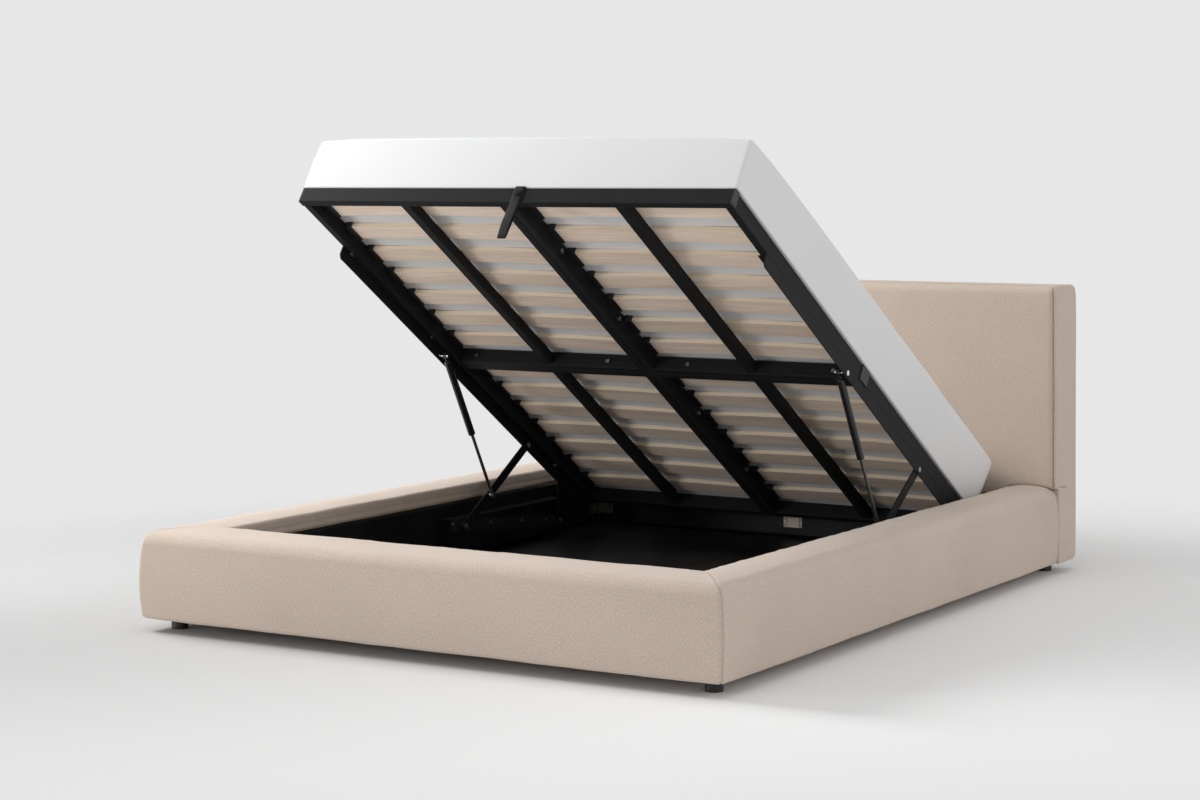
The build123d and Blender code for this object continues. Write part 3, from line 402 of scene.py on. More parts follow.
def linen():
    """Oatmeal cloth with mixed light and dark yarns, on UV places in metres."""
    cloth = Shader("linen", 0.92)
    warp = cloth.noise(cloth.place("UV", (YARN_ACROSS, YARN_ALONG, 1.0)), detail=2.0)
    weft = cloth.noise(cloth.place("UV", (YARN_ALONG, YARN_ACROSS, 1.0)), detail=2.0)
    flecks = cloth.noise(cloth.place("UV", (YARN_FLECKS, YARN_FLECKS, 1.0)), detail=2.0, roughness=0.6)
    threads = [cloth.math("MULTIPLY", threads, YARN_SHARE) for threads in (warp, weft)]
    yarn = cloth.math("ADD", *threads)
    yarn = cloth.math("ADD", yarn, cloth.math("MULTIPLY", flecks, FLECK_SHARE))
    base = cloth.ramp(yarn, *LINEN_YARNS)
    tint = cloth.noise(cloth.place("UV", (YARN_BLOTCHES, YARN_BLOTCHES, 1.0)), detail=3.0)
    base = cloth.mix(0.75, base, cloth.ramp(tint, *LINEN_HUES), "MULTIPLY")
    broad = cloth.speckle(2.2, detail=2.0)
    cloth.colour(cloth.mix(1.0, base, cloth.ramp(broad, *LINEN_SHADES), "MULTIPLY"))
    bands = [cloth.wave(WEAVE_SCALE, way, distortion=0.6, detail=2.0, detail_scale=3.0) for way in ("X", "Y")]
    cloth.bump((yarn, 0.5, 0.0012), (cloth.math("ADD", *bands), 0.25, 0.0006))
    cloth.surface(Sheen_Weight=0.3, Sheen_Roughness=0.5, Sheen_Tint=(0.96, 0.93, 0.90, 1.0))
    cloth.surface(Specular_IOR_Level=0.15)
    return cloth.material


def ticking():
    """White knitted mattress cloth."""
    cloth = Shader("ticking", 0.85)
    knit = cloth.noise(cloth.place("UV", (700.0, 420.0, 1.0)), detail=2.0)
    soft = cloth.speckle(3.0, detail=2.0)
    base = cloth.ramp(knit, (0.3, (0.695, 0.695, 0.70)), (0.7, (0.76, 0.76, 0.76)))
    shade = cloth.ramp(soft, (0.3, (0.975, 0.975, 0.98)), (0.7, (1.0, 1.0, 1.0)))
    cloth.colour(cloth.mix(1.0, base, shade, "MULTIPLY"))
    cloth.bump((knit, 0.2, 0.0008), (soft, 0.08, 0.01))
    cloth.surface(Sheen_Weight=0.15, Specular_IOR_Level=0.2)
    return cloth.material


def lining_cloth(name, roughness):
    """Black coated lining with a soft shine and gentle waves."""
    cloth = Shader(name, roughness)
    cloth.surface(Specular_IOR_Level=0.25)
    weave = cloth.speckle(900.0, detail=2.0)
    waves = cloth.noise(cloth.place("Object", (1.6, 4.5, 3.0)), detail=3.0)
    scuff = cloth.speckle(7.0, detail=5.0, roughness=0.65)
    cloth.colour(cloth.ramp(scuff, (0.35, (0.0035, 0.0035, 0.0042)), (0.7, (0.0075, 0.0073, 0.0085))))
    cloth.rough(cloth.span(scuff, roughness - 0.08, roughness + 0.12))
    cloth.bump((waves, 0.35, 0.02), (weave, 0.15, 0.0008))
    return cloth.material


def webbing():
    """Black polyester webbing with a herringbone weave."""
    cloth = Shader("webbing", 0.7)
    ribs = cloth.wave(300.0, "DIAGONAL", distortion=1.5)
    edge = cloth.noise(cloth.place("UV", (500.0, 500.0, 1.0)), detail=2.0)
    cloth.colour(cloth.ramp(ribs, (0.2, (0.003, 0.003, 0.0033)), (0.8, (0.009, 0.009, 0.0098))))
    cloth.bump((ribs, 0.7, 0.0006), (edge, 0.3, 0.0004))
    cloth.surface(Specular_IOR_Level=0.2)
    return cloth.material


def powder_coat():
    """Satin black powder coat with a fine orange peel, and a painted highlight that makes its edges a little
    lighter.
    """
    coat = Shader("powder_coat", 0.5)
    coat.surface(Specular_IOR_Level=0.05)
    peel = coat.speckle(650.0, detail=2.0)
    patch = coat.speckle(14.0, detail=4.0)
    base = coat.ramp(patch, (0.3, (0.0070, 0.0070, 0.0076)), (0.7, (0.0105, 0.0105, 0.0113)))
    point = coat.add("ShaderNodeNewGeometry").outputs["Pointiness"]
    # painted highlight: sharp edges are painted a lighter grey, standing in for the light they catch
    edge_highlight = coat.ramp(point, (0.53, (0.0, 0.0, 0.0)), (0.62, (0.30, 0.30, 0.30)))
    coat.colour(coat.mix(edge_highlight, base, (0.045, 0.045, 0.047)))
    coat.rough(coat.span(patch, 0.44, 0.58))
    coat.bump((peel, 0.12, 0.0008))
    return coat.material


def moulded_plastic(name, roughness):
    """Black moulded plastic with a fine spark texture."""
    plastic = Shader(name, roughness)
    grain = plastic.speckle(1400.0, detail=2.0)
    patch = plastic.speckle(25.0)
    plastic.colour(plastic.ramp(patch, (0.3, (0.009, 0.009, 0.010)), (0.7, (0.016, 0.016, 0.0175))))
    plastic.rough(plastic.span(patch, roughness - 0.06, roughness + 0.08))
    plastic.bump((grain, 0.2, 0.0005))
    return plastic.material


def birch():
    """Sanded birch slats: long fine grain across the bed, pale plies on their edges."""
    wood = Shader("birch", 0.55)
    turned = (LIFT_SLOPE, 0.0, 0.0)
    grain = wood.noise(wood.place("Object", (5.0, 260.0, 260.0), turned), detail=4.0, roughness=0.6)
    figure = wood.noise(wood.place("Object", (2.4, 26.0, 26.0), turned), detail=3.0)
    tone = wood.noise(wood.place("Object", (0.35, 10.2, 0.2), turned), detail=0.0)
    face = wood.mix(1.0, wood.ramp(grain, *BIRCH_FACE), wood.ramp(figure, *BIRCH_FIGURE), "MULTIPLY")
    face = wood.mix(1.0, face, wood.ramp(tone, *BIRCH_BOARDS), "MULTIPLY")
    place = wood.add("ShaderNodeSeparateXYZ", {0: wood.place("Object", (1.0, 1.0, 1.0), turned)})
    ply = wood.math("SINE", wood.math("MULTIPLY", place.outputs[2], tau / PLY_PITCH))
    normal = wood.add("ShaderNodeNewGeometry").outputs["Normal"]
    inputs = {0: normal, 1: tuple(ALONG)}
    facing = wood.add("ShaderNodeVectorMath", inputs, operation="DOT_PRODUCT").outputs["Value"]
    edge = wood.add("ShaderNodeMapRange", {0: wood.math("ABSOLUTE", facing), 1: 0.55, 2: 0.8}).outputs[0]
    wood.colour(wood.mix(edge, face, wood.ramp(ply, *BIRCH_PLIES)))
    wood.bump((grain, 0.12, 0.0008))
    return wood.material


def timber():
    """Sawn softwood and board inside the rails and headboard."""
    wood = Shader("timber", 0.75)
    grain = wood.speckle(30.0, detail=6.0, roughness=0.7)
    fibres = wood.noise(wood.place("Object", (400.0, 12.0, 400.0)), detail=3.0)
    base = wood.ramp(grain, (0.3, (0.480, 0.320, 0.170)), (0.7, (0.660, 0.480, 0.290)))
    lines = wood.ramp(fibres, (0.3, (0.85, 0.83, 0.80)), (0.7, (1.05, 1.05, 1.05)))
    wood.colour(wood.mix(1.0, base, lines, "MULTIPLY"))
    wood.bump((fibres, 0.3, 0.001))
    return wood.material


def bright_metal(name, colour, roughness, mottled, metallic=1.0):
    """Plated steel, its colour darker by mottled in patches."""
    metal = Shader(name, roughness, metallic)
    cloud = metal.speckle(120.0)
    fine = metal.speckle(1500.0, detail=1.0)
    low = tuple(c * (1.0 - mottled) for c in colour)
    metal.colour(metal.ramp(cloud, (0.3, low), (0.7, colour)))
    metal.rough(metal.span(cloud, roughness * 0.8, roughness * 1.25))
    metal.bump((fine, 0.05, 0.0003))
    return metal.material


def gloss_black():
    """The struts' black paint."""
    paint = Shader("gloss_black", 0.24)
    patch = paint.speckle(60.0)
    fine = paint.speckle(900.0, detail=1.0)
    paint.colour(paint.ramp(patch, (0.3, (0.008, 0.008, 0.009)), (0.7, (0.013, 0.013, 0.014))))
    paint.rough(paint.span(patch, 0.2, 0.32))
    paint.bump((fine, 0.06, 0.0003))
    return paint.material


LINEN = linen()
PAINTS = {
    "linen": LINEN,
    "mattress": ticking(),
    "lining": lining_cloth("lining_cloth", 0.42),
    "floor_board": lining_cloth("floor_cloth", 0.36),
    "webbing": webbing(),
    "black_steel": powder_coat(),
    "black_plastic": moulded_plastic("black_plastic", 0.5),
    "foot_plastic": moulded_plastic("foot_plastic", 0.38),
    "birch": birch(),
    "timber": timber(),
    "zinc": bright_metal("zinc", (0.40, 0.40, 0.41), 0.35, 0.25),
    "chrome": bright_metal("chrome", (0.78, 0.78, 0.80), 0.12, 0.08),
    "dull_zinc": bright_metal("dull_zinc", (0.20, 0.195, 0.185), 0.45, 0.4),
    "warm_zinc": bright_metal("warm_zinc", (0.80, 0.70, 0.63), 0.5, 0.2, 0.3),
    "strut_black": gloss_black(),
}
# Nodes that look different from the rest of their slot
NODE_PAINTS = {
    "strut_rod_left": "dull_zinc",
    "strut_rod_right": "dull_zinc",
    "corner_brackets": "dull_zinc",
    "bracket_screws": "dull_zinc",
    "head_wall_plate": "warm_zinc",
    "strap_bolt": "black_steel",
}


def paint_cad_nodes():
    """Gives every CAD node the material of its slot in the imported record, or its own."""
    for part in frame["record"]["subparts"]:
        node = frame["nodes"][part["node"]]
        slot = NODE_PAINTS.get(part["node"], part["material_slot"])
        node.data.materials.clear()
        node.data.materials.append(PAINTS[slot])


# Upholstered rails
OUTER_LOW, OUTER_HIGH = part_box("side_rail_cover_right")
FOOT_LOW, FOOT_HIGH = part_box("foot_rail_cover")
HALF_WIDTH = OUTER_HIGH.x + PUFF
INNER_X = OUTER_LOW.x
FRONT_Y = FOOT_LOW.y - PUFF
FOOT_INNER_Y = FOOT_HIGH.y
RAIL_HEAD_Y = OUTER_HIGH.y
RAIL_LOW, RAIL_TOP = OUTER_LOW.z, OUTER_HIGH.z
SIDE_WIDTH = HALF_WIDTH - INNER_X
FOOT_WIDTH = FOOT_INNER_Y - FRONT_Y


def rail_crown(inset, width):
    """How far the padding rises over the rail's top at an inset from its outer face."""
    shoulder = FACE_BULGE + TOP_EDGE_RADIUS
    inner = width - shoulder
    share = (inset - shoulder) / np.where(inset < shoulder, SIDE_WIDTH - shoulder, inner)
    return RAIL_CROWN * (1.0 - ((share - CROWN_MIDDLE_SHARE) / CROWN_REACH_SHARE) ** 2)


def rail_section(width):
    """(inset from the outer face, height) from the hem inside, over the top, down the face and under."""
    shoulder = FACE_BULGE + TOP_EDGE_RADIUS
    crown_high = RAIL_TOP - TOP_CROWN
    nose = (width - INNER_EDGE_RADIUS, crown_high - INNER_EDGE_RADIUS)
    points = [(width, RAIL_TOP - LIP_DEPTH)]
    points += arc(nose, INNER_EDGE_RADIUS, 0.0, pi / 2)
    points += bow((nose[0], crown_high), (shoulder, crown_high + TOP_CROWN / 2), -TOP_CROWN)[1:]
    points += arc((shoulder, RAIL_TOP - TOP_CROWN / 2 - TOP_EDGE_RADIUS), TOP_EDGE_RADIUS, pi / 2, pi)[1:]
    low = (FACE_BULGE, RAIL_LOW + BOTTOM_EDGE_RADIUS)
    points += bow(points[-1], low, -FACE_BULGE)[1:]
    points += arc((FACE_BULGE + BOTTOM_EDGE_RADIUS, low[1]), BOTTOM_EDGE_RADIUS, pi, 1.5 * pi)[1:]
    points += [(width - LIP_THICKNESS, RAIL_LOW)]
    section = evenly(points, SECTION_STEP)
    lifted = smoothstep(RAIL_LOW + 0.1, RAIL_TOP - 0.02, section[:, 1])
    section[:, 1] += rail_crown(section[:, 0], width) * lifted
    return section


def seam_graded(length, both_ends):
    """Distances from 0 to length, closer together near a seam."""
    fine = np.array(SEAM_STEPS)
    last = length - fine[-1] if both_ends else length
    count = round((last - fine[-1]) / LENGTH_STEP)
    middle = np.linspace(fine[-1], last, count + 1)[1:]
    steps = np.concatenate([fine, middle])
    return np.concatenate([steps, length - fine[::-1][1:]]) if both_ends else steps


def seam_place(inset, width, other_width):
    """How far the mitre seam lies from the corner along a rail, at an inset from its outer face."""
    shoulder = FACE_BULGE + TOP_EDGE_RADIUS
    inner = (inset - shoulder) * (other_width - shoulder) / (width - shoulder)
    return np.where(inset < shoulder, inset, shoulder + inner)


def corner_radius(inset):
    """The rounding of the vertical corner, gone where the rail's top is flat."""
    return CORNER_RADIUS * (1.0 - smoothstep(0.5 * TOP_EDGE_RADIUS, 1.8 * TOP_EDGE_RADIUS, inset)) + 1e-5


def hem_groove(section):
    """The stitched line of the hem on the inner lip."""
    inside = section[:, 0] > section[:, 0].max() - INNER_EDGE_RADIUS / 2
    return np.where(inside, np.exp(-(((section[:, 1] - HEM_HEIGHT) / HEM_WIDTH) ** 2)), 0.0) * HEM_DEPTH


def rail_cover(name, width, other_width, length, both_ends, place, seed):
    """A padded rail's cover: a grid from its mitre seam along the rail, put on the bed by place()."""
    section = rail_section(width)
    inset, height = section[:, 0], section[:, 1]
    radius = corner_radius(inset)
    bend = radius * pi / 4
    start = seam_place(inset, width, other_width)
    total = length - start - radius + bend
    if both_ends:
        total = 2.0 * (length / 2 - start - radius + bend)
    shares = seam_graded(total.max(), both_ends) / total.max()
    distance = np.outer(total, shares)
    near = np.minimum(distance, total[:, None] - distance) if both_ends else distance
    turn = np.minimum(near / radius[:, None], pi / 4)
    straight = np.maximum(near - bend[:, None], 0.0)
    along = (start + radius)[:, None] - radius[:, None] * np.sin(pi / 4 - turn) + straight
    out = (inset + radius)[:, None] - radius[:, None] * np.cos(pi / 4 - turn)
    far = distance > total[:, None] / 2
    if both_ends:
        along = np.where(far, length - along, along)
    grid = np.stack([along, out, np.broadcast_to(height[:, None], along.shape)], axis=2)
    grid = place(grid)
    normal = normals_of(grid)
    drop = SEAM_DEPTH * np.exp(-((near / SEAM_WIDTH) ** 2))
    if not both_ends:
        drop = drop + 0.3 * SEAM_DEPTH * np.exp(-(((total[:, None] - distance) / SEAM_WIDTH) ** 2))
    drop = drop + hem_groove(section)[:, None]
    swell = swells(grid, RAIL_SWELLS, seed)
    lip = smoothstep(width - 2.0 * INNER_EDGE_RADIUS, width, inset)[:, None]
    pull = swells(grid, (LIP_SWELL,), seed, (1.0, 1.0, 0.5)) * lip
    offset = (swell + pull - drop)[:, :, None]
    facing = np.sign((normal * (grid - np.array((0.0, 0.0, 0.12))))[len(section) // 2].sum())
    grid = grid + normal * facing * offset
    rows, columns = grid.shape[:2]
    faces = grid_faces(rows, columns)
    if facing < 0:
        faces = [f[::-1] for f in faces]
    across = run_along(section)
    uvs = np.stack([along, np.broadcast_to(across[:, None], along.shape)], axis=2)
    piece = mesh_piece(name, grid.reshape(-1, 3), faces, uvs.reshape(-1, 2))
    thicken(piece, CLOTH_THICKNESS)
    return piece


def side_place(side):
    """Puts corner places on the side rail: along runs from the front face, out from the outer face."""

    def place(grid):
        x = side * (HALF_WIDTH - grid[..., 1])
        return np.stack([x, FRONT_Y + grid[..., 0], grid[..., 2]], axis=-1)

    return place


def foot_place(grid):
    """Puts corner places on the foot rail: along runs from the left outer face."""
    return np.stack([grid[..., 0] - HALF_WIDTH, FRONT_Y + grid[..., 1], grid[..., 2]], axis=-1)


def rails():
    """The three padded rail covers, with a sewn mitre at each front corner."""
    length = RAIL_HEAD_Y - FRONT_Y
    for side, turn, seed in (("left", -1.0, 11.0), ("right", 1.0, 29.0)):
        name = f"side_rail_{side}_cloth"
        cover = rail_cover(name, SIDE_WIDTH, FOOT_WIDTH, length, False, side_place(turn), seed)
        finished(cover, "base", "linen", LINEN, f"side_rail_cover_{side}")
    cover = rail_cover("foot_rail_cloth", FOOT_WIDTH, SIDE_WIDTH, 2.0 * HALF_WIDTH, True, foot_place, 47.0)
    finished(cover, "base", "linen", LINEN, "foot_rail_cover")


# Closed padded forms
def rounded_outline(corners, radii, step):
    """A closed outline with each corner rounded, its points about one step apart."""
    points = []
    count = len(corners)
    for k in range(count):
        before, here, after = (np.array(corners[(k + d) % count]) for d in (-1, 0, 1))
        u, v = before - here, after - here
        u, v = u / np.linalg.norm(u), v / np.linalg.norm(v)
        reach = radii[k]
        for t in np.linspace(0.0, 1.0, 10):
            curve = here + u * reach * (1.0 - t) ** 2 + v * reach * t**2
            points.append(tuple(curve))
    return evenly(points, step, closed=True)


def outward(loop):
    """Unit vectors that point out of a closed outline, and whether it runs anticlockwise."""
    step = np.roll(loop, -1, axis=0) - np.roll(loop, 1, axis=0)
    area = (loop[:, 0] * np.roll(loop[:, 1], -1) - loop[:, 1] * np.roll(loop[:, 0], -1)).sum() / 2
    out = np.stack([step[:, 1], -step[:, 0]], axis=1) * np.sign(area)
    return out / np.linalg.norm(out, axis=1, keepdims=True), area > 0


def pillow(loop, wall, spine, front, back, place, rings=24, square=False):
    """A closed form: its outline rises through the wall's (inset, height) stations.

    Rings close each end over the spine. A square outline is drawn in towards its middle, so that its tight
    corners keep their shape.
    """
    out, anticlockwise = outward(loop)
    line = spine[1] - spine[0]
    along = np.clip((loop - spine[0]) @ line / max((line**2).sum(), 1e-9), 0.0, 1.0)
    centre = spine[0] + along[:, None] * line
    shares = np.linspace(0.0, 1.0, rings + 1)[1:] ** 0.9

    def cap(edge, height):
        return [
            np.concatenate([ring, height(ring)[:, None]], axis=1)
            for ring in (edge + (centre - edge) * t for t in shares)
        ]

    if square:
        middle = (loop.max(axis=0) + loop.min(axis=0)) / 2
        reach = (loop.max(axis=0) - loop.min(axis=0)) / 2
        stations = [middle + (loop - middle) * (1.0 - inset / reach) for inset, _ in wall]
    else:
        stations = [loop - out * inset for inset, _ in wall]
    rows = [np.concatenate([s, np.full((len(loop), 1), h)], axis=1) for s, (_, h) in zip(stations, wall)]
    run = run_along(np.array(wall))
    uv_rows = [loop + out * (run[-1] - r) for r in run]
    low, high = cap(stations[0], back), cap(stations[-1], front)
    grid = np.array(low[::-1] + rows + high)
    flat = np.concatenate([[ring[:, :2] for ring in low[::-1]], uv_rows, [ring[:, :2] for ring in high]])
    vertices = place(grid)
    faces = grid_faces(grid.shape[0], grid.shape[1], close_columns=True)
    if not anticlockwise:
        faces = [f[::-1] for f in faces]
    return vertices, faces, flat


def closed_piece(name, vertices, faces, uvs):
    """The object of a closed form, its doubled points along the spine joined."""
    piece = mesh_piece(name, vertices.reshape(-1, 3), faces, uvs.reshape(-1, 2))
    work = bmesh.new()
    work.from_mesh(piece.data)
    bmesh.ops.remove_doubles(work, verts=work.verts, dist=1e-6)
    bmesh.ops.recalc_face_normals(work, faces=work.faces)
    work.to_mesh(piece.data)
    work.free()
    piece.data.polygons.foreach_set("use_smooth", [True] * len(piece.data.polygons))
    return piece


def edge_wall(low, high, low_radius, high_radius, bulge, steps=10):
    """Wall stations: a rounded low edge, a side that swells by bulge, a rounded high edge."""

    def turned(radius, angle):
        return radius * (1.0 - cos(angle)) + bulge, radius * (1.0 - sin(angle))

    below = [turned(low_radius, a) for a in np.linspace(pi / 2, 0, steps)]
    above = [turned(high_radius, a) for a in np.linspace(0, pi / 2, steps)]
    rise = np.linspace(low + low_radius, high - high_radius, 16)
    share = (rise - rise[0]) / (rise[-1] - rise[0])
    side = [(bulge * (1.0 - bulged(t)), h) for t, h in zip(share, rise)]
    return [(inset, low + h) for inset, h in below] + side[1:] + [(inset, high - h) for inset, h in above][1:]


# Headboard
HEADBOARD_LOW, HEADBOARD_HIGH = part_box("headboard_cover")
PAD_LOW, PAD_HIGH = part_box("headboard_pad")
RIM_X = HALF_WIDTH - RIM_WIDTH
RIM_Z = HEADBOARD_HIGH.z - RIM_DROP
RECESS_Y = PAD_HIGH.y - RECESS_DEPTH


def over_rails(grid):
    """How far points just above the side rails are pushed up by the rails' crowned tops."""
    inset = HALF_WIDTH - np.abs(grid[..., 0])
    crown = rail_crown(np.clip(inset, 0.0, SIDE_WIDTH), SIDE_WIDTH)
    low = 1.0 - smoothstep(RAIL_TOP, RAIL_TOP + OVER_RAIL_HEIGHT, grid[..., 2])
    beside = 1.0 - smoothstep(SIDE_WIDTH, SIDE_WIDTH + OVER_RAIL_WIDTH, inset)
    return np.where(grid[..., 2] > RAIL_TOP - 0.001, crown * low * beside, 0.0)


def headboard_border():
    """The border round the headboard: a side outline swept across the bed, recessed where the pad sits."""
    front_y, slab_y, back_y = HEADBOARD_LOW.y + RIM_SET_BACK, RAIL_HEAD_Y, HEADBOARD_HIGH.y
    top, low = HEADBOARD_HIGH.z, HEADBOARD_LOW.z
    step_z = RAIL_TOP + RAIL_GAP
    corners = [(front_y, step_z), (slab_y, step_z), (slab_y, low)]
    corners += [(back_y, low), (back_y, top), (front_y, top)]
    loop = rounded_outline(corners, BORDER_CORNERS, BORDER_STEP)
    middle = (slab_y + back_y) / 2
    spine = [np.array((middle, z)) for z in (low + BORDER_SPINE_ENDS[0], top - BORDER_SPINE_ENDS[1])]

    def face(ring):
        across = np.clip(np.abs(ring[:, 0] - middle) / (back_y - middle), 0.0, 1.0)
        return HALF_WIDTH + BORDER_BULGE * (1.0 - across**2) - BORDER_BULGE

    def back_face(ring):
        return -face(ring)

    def on_bed(grid):
        return np.stack([grid[..., 2], grid[..., 0], grid[..., 1]], -1)

    ends = edge_wall(-HALF_WIDTH, HALF_WIDTH, BORDER_EDGE_RADIUS, BORDER_EDGE_RADIUS, 0.0)
    before, edge, past = (RIM_X - inset for inset in RECESS_EDGE)
    ends += [(0.0, side * x) for side in (-1.0, 1.0) for x in (before, past)]
    ends = sorted(ends, key=lambda place: place[1])
    grid, faces, flat = pillow(loop, ends, spine, face, back_face, on_bed, rings=12)
    behind = (np.abs(grid[..., 0]) < edge) & (grid[..., 1] < RECESS_Y)
    grid[..., 1] = np.where(behind, RECESS_Y, grid[..., 1])
    grid[..., 2] += over_rails(grid)
    swell = swells(grid, BORDER_SWELLS)
    grid[..., 1] += swell * 0.6
    grid[..., 0] += np.sign(grid[..., 0]) * swell * (np.abs(grid[..., 0]) > HALF_WIDTH - 0.02)
    border = closed_piece("headboard_border_cloth", grid, faces, flat)
    finished(border, "base", "linen", LINEN, "headboard_cover")


def roll(distance, radius):
    """How far a padded face falls back at a distance from its rolled edge."""
    share = 1.0 - np.clip(distance / radius, 0.0, 1.0)
    return radius * (1.0 - np.sqrt(1.0 - share**2))


def rolled_stations(start, end, low_radius, high_radius, step):
    """Places from start to end, closer together on the rolled edges."""
    turn = 1.0 - np.cos(np.linspace(0.0, pi / 2, 10))
    first, last = start + low_radius * turn, end - high_radius * turn[::-1]
    middle = np.linspace(first[-1], last[0], round((last[0] - first[-1]) / step) + 1)[1:-1]
    return np.concatenate([first, middle, last])


def headboard_front():
    """The crowned front pad, notched over the rails, its edges rolled back into the seam."""
    low, front_y, back_y = PAD_LOW.z, PAD_LOW.y, PAD_HIGH.y
    height = RIM_Z - low
    notch = [side * (INNER_X + d) for side in (-1.0, 1.0) for d in (-NOTCH_SPLIT, NOTCH_SPLIT)]
    x = rolled_stations(-RIM_X, RIM_X, PAD_SIDE_ROLL, PAD_SIDE_ROLL, PAD_STEP)
    x = np.sort(np.concatenate([x, notch]))
    crowned = rail_crown(np.clip(HALF_WIDTH - np.abs(x), 0.0, SIDE_WIDTH), SIDE_WIDTH)
    foot = np.where(np.abs(x) > INNER_X, RAIL_TOP + crowned - PAD_LAP, low)[:, None]
    share = rolled_stations(0.0, 1.0, PAD_FOOT_ROLL / height, PAD_TOP_ROLL / height, PAD_ROW_SHARE)[None, :]
    z = foot + (RIM_Z - foot) * share
    x = np.broadcast_to(x[:, None], z.shape)
    across = np.abs(x) / RIM_X
    middle = (low + RIM_Z) / 2
    rise = np.abs(z - middle) / (RIM_Z - middle)
    y = front_y + PAD_CROWN * (1.0 - (1.0 - across**11) * (1.0 - rise**4))
    y = y + roll(RIM_X - np.abs(x), PAD_SIDE_ROLL)
    y = y + roll(RIM_Z - z, PAD_TOP_ROLL) + roll(z - foot, PAD_FOOT_ROLL)
    grid = np.stack([x, np.minimum(y, back_y), z], axis=2)
    inside = smoothstep(back_y, front_y + PAD_CROWN, grid[..., 1])
    grid[..., 1] += swells(grid, PAD_SWELLS) * inside
    faces = grid_faces(*z.shape)
    uvs = np.stack([x, z], axis=2).reshape(-1, 2)
    pad = mesh_piece("headboard_pad_cloth", grid.reshape(-1, 3), faces, uvs)
    if pad.data.polygons[len(faces) // 2].normal.y > 0.0:
        pad.data.flip_normals()
    thicken(pad, CLOTH_THICKNESS)
    finished(pad, "base", "linen", LINEN, "headboard_pad")


# Mattress, on the lift frame
def frame_span(node):
    """Lowest and highest (s, x, n) of a CAD node along the lift frame's own directions."""
    points = np.array([v.co for v in frame["nodes"][node].data.vertices])
    own = np.stack([points @ ALONG, points @ ACROSS, points @ UP], axis=1)
    return own.min(axis=0), own.max(axis=0)


def from_frame(grid):
    """Takes (s, x, n) places to the bed."""
    return grid[..., :1] * ALONG + grid[..., 1:2] * ACROSS + grid[..., 2:3] * UP


def mattress_rise(share, across):
    """How far the mattress's top lies over its solid's, at a share of its length and of its half width."""
    rise = -FOOT_DROP - SIDE_DROP * across**2 - RIGHT_DROP * across * np.exp(-share / RIGHT_REACH)
    rise = rise + FOOT_RISE * (1.0 - np.exp(-share / FOOT_REACH)) + HEAD_RISE * share
    return rise - EDGE_DROP * smoothstep(0.8, 1.0, np.abs(across))


def mattress():
    """The mattress: crowned, with firm edges, its top rising and its sides leaning out towards the head."""
    low, high = frame_span("mattress")
    length, half = high[0] - low[0], high[1]
    bottom, shoulder = low[2] - MATTRESS_SINK, high[2] - MATTRESS_SHOULDER
    side = half + MATTRESS_FULLER
    corners = [(low[0], -side), (high[0], -side), (high[0], side), (low[0], side)]
    loop = rounded_outline(corners, MATTRESS_CORNERS, MATTRESS_STEP)
    wall = edge_wall(bottom, shoulder, MATTRESS_LOW_EDGE, MATTRESS_HIGH_EDGE, MATTRESS_BULGE)
    spine = [np.array((s, 0.0)) for s in (low[0] + MATTRESS_SPINE_INSET, high[0] - MATTRESS_SPINE_INSET)]

    def top(ring):
        across = np.clip(np.abs(ring[:, 1]) / side, 0.0, 1.0)
        share = np.clip(np.abs(2.0 * (ring[:, 0] - low[0]) / length - 1.0), 0.0, 1.0)
        return shoulder + MATTRESS_CROWN * (1.0 - across**4) * (1.0 - share**5)

    def underside(ring):
        edge = np.minimum(half - np.abs(ring[:, 1]), np.minimum(ring[:, 0] - low[0], high[0] - ring[:, 0]))
        return bottom + MATTRESS_HOLLOW * smoothstep(0.02, 0.06, edge)

    grid, faces, flat = pillow(loop, wall, spine, top, underside, lambda g: g, rings=30, square=True)
    share = np.clip((grid[..., 0] - low[0]) / length, 0.0, 1.0)
    height = np.clip((grid[..., 2] - bottom) / (shoulder - bottom), 0.0, 1.1)
    grid[..., 2] += mattress_rise(share, grid[..., 1] / half) * height
    grid[..., 1] *= 1.0 + MATTRESS_LEAN * share * height
    soft = swells(grid, MATTRESS_SWELLS)
    above = smoothstep(bottom + 0.02, bottom + 0.06, grid[..., 2])
    grid[..., 2] += soft * above * 0.6
    grid[..., 1] += np.sign(grid[..., 1]) * soft * above * (np.abs(grid[..., 1]) > half - 0.03) * 0.8
    grid[..., 0] += soft * above * (grid[..., 0] < low[0] + 0.03) * 0.8
    piece = closed_piece("mattress_body", from_frame(grid), faces, flat)
    finished(piece, "lift_frame", "mattress", PAINTS["mattress"], "mattress")


# Black lining of the storage box
def lining_sheet(node, seed):
    """A wall's lining cloth, stretched over the panel with faint waves."""
    low, high = (np.array(v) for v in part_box(node))
    size = high - low
    thin = int(np.argmin(size))
    wide, tall = [k for k in range(3) if k != thin]
    columns, rows = (int(size[k] / step) for k, step in zip((wide, tall), LINING_STEPS))
    grid = np.zeros((rows + 1, columns + 1, 3))
    grid[..., wide] = np.linspace(low[wide], high[wide], columns + 1)[None, :]
    grid[..., tall] = np.linspace(low[tall], high[tall], rows + 1)[:, None]
    grid[..., thin] = (low[thin] + high[thin]) / 2
    layers = [(wave, size[thin] * share, own) for wave, share, own in LINING_SWELLS]
    grid[..., thin] += swells(grid, layers, seed)
    uvs = np.stack([grid[..., wide], grid[..., tall]], axis=2).reshape(-1, 2)
    piece = mesh_piece(f"{node}_cloth", grid.reshape(-1, 3), grid_faces(rows + 1, columns + 1), uvs)
    thicken(piece, LINING_THICKNESS, 0.0)
    finished(piece, "base", "lining", PAINTS["lining"], node)


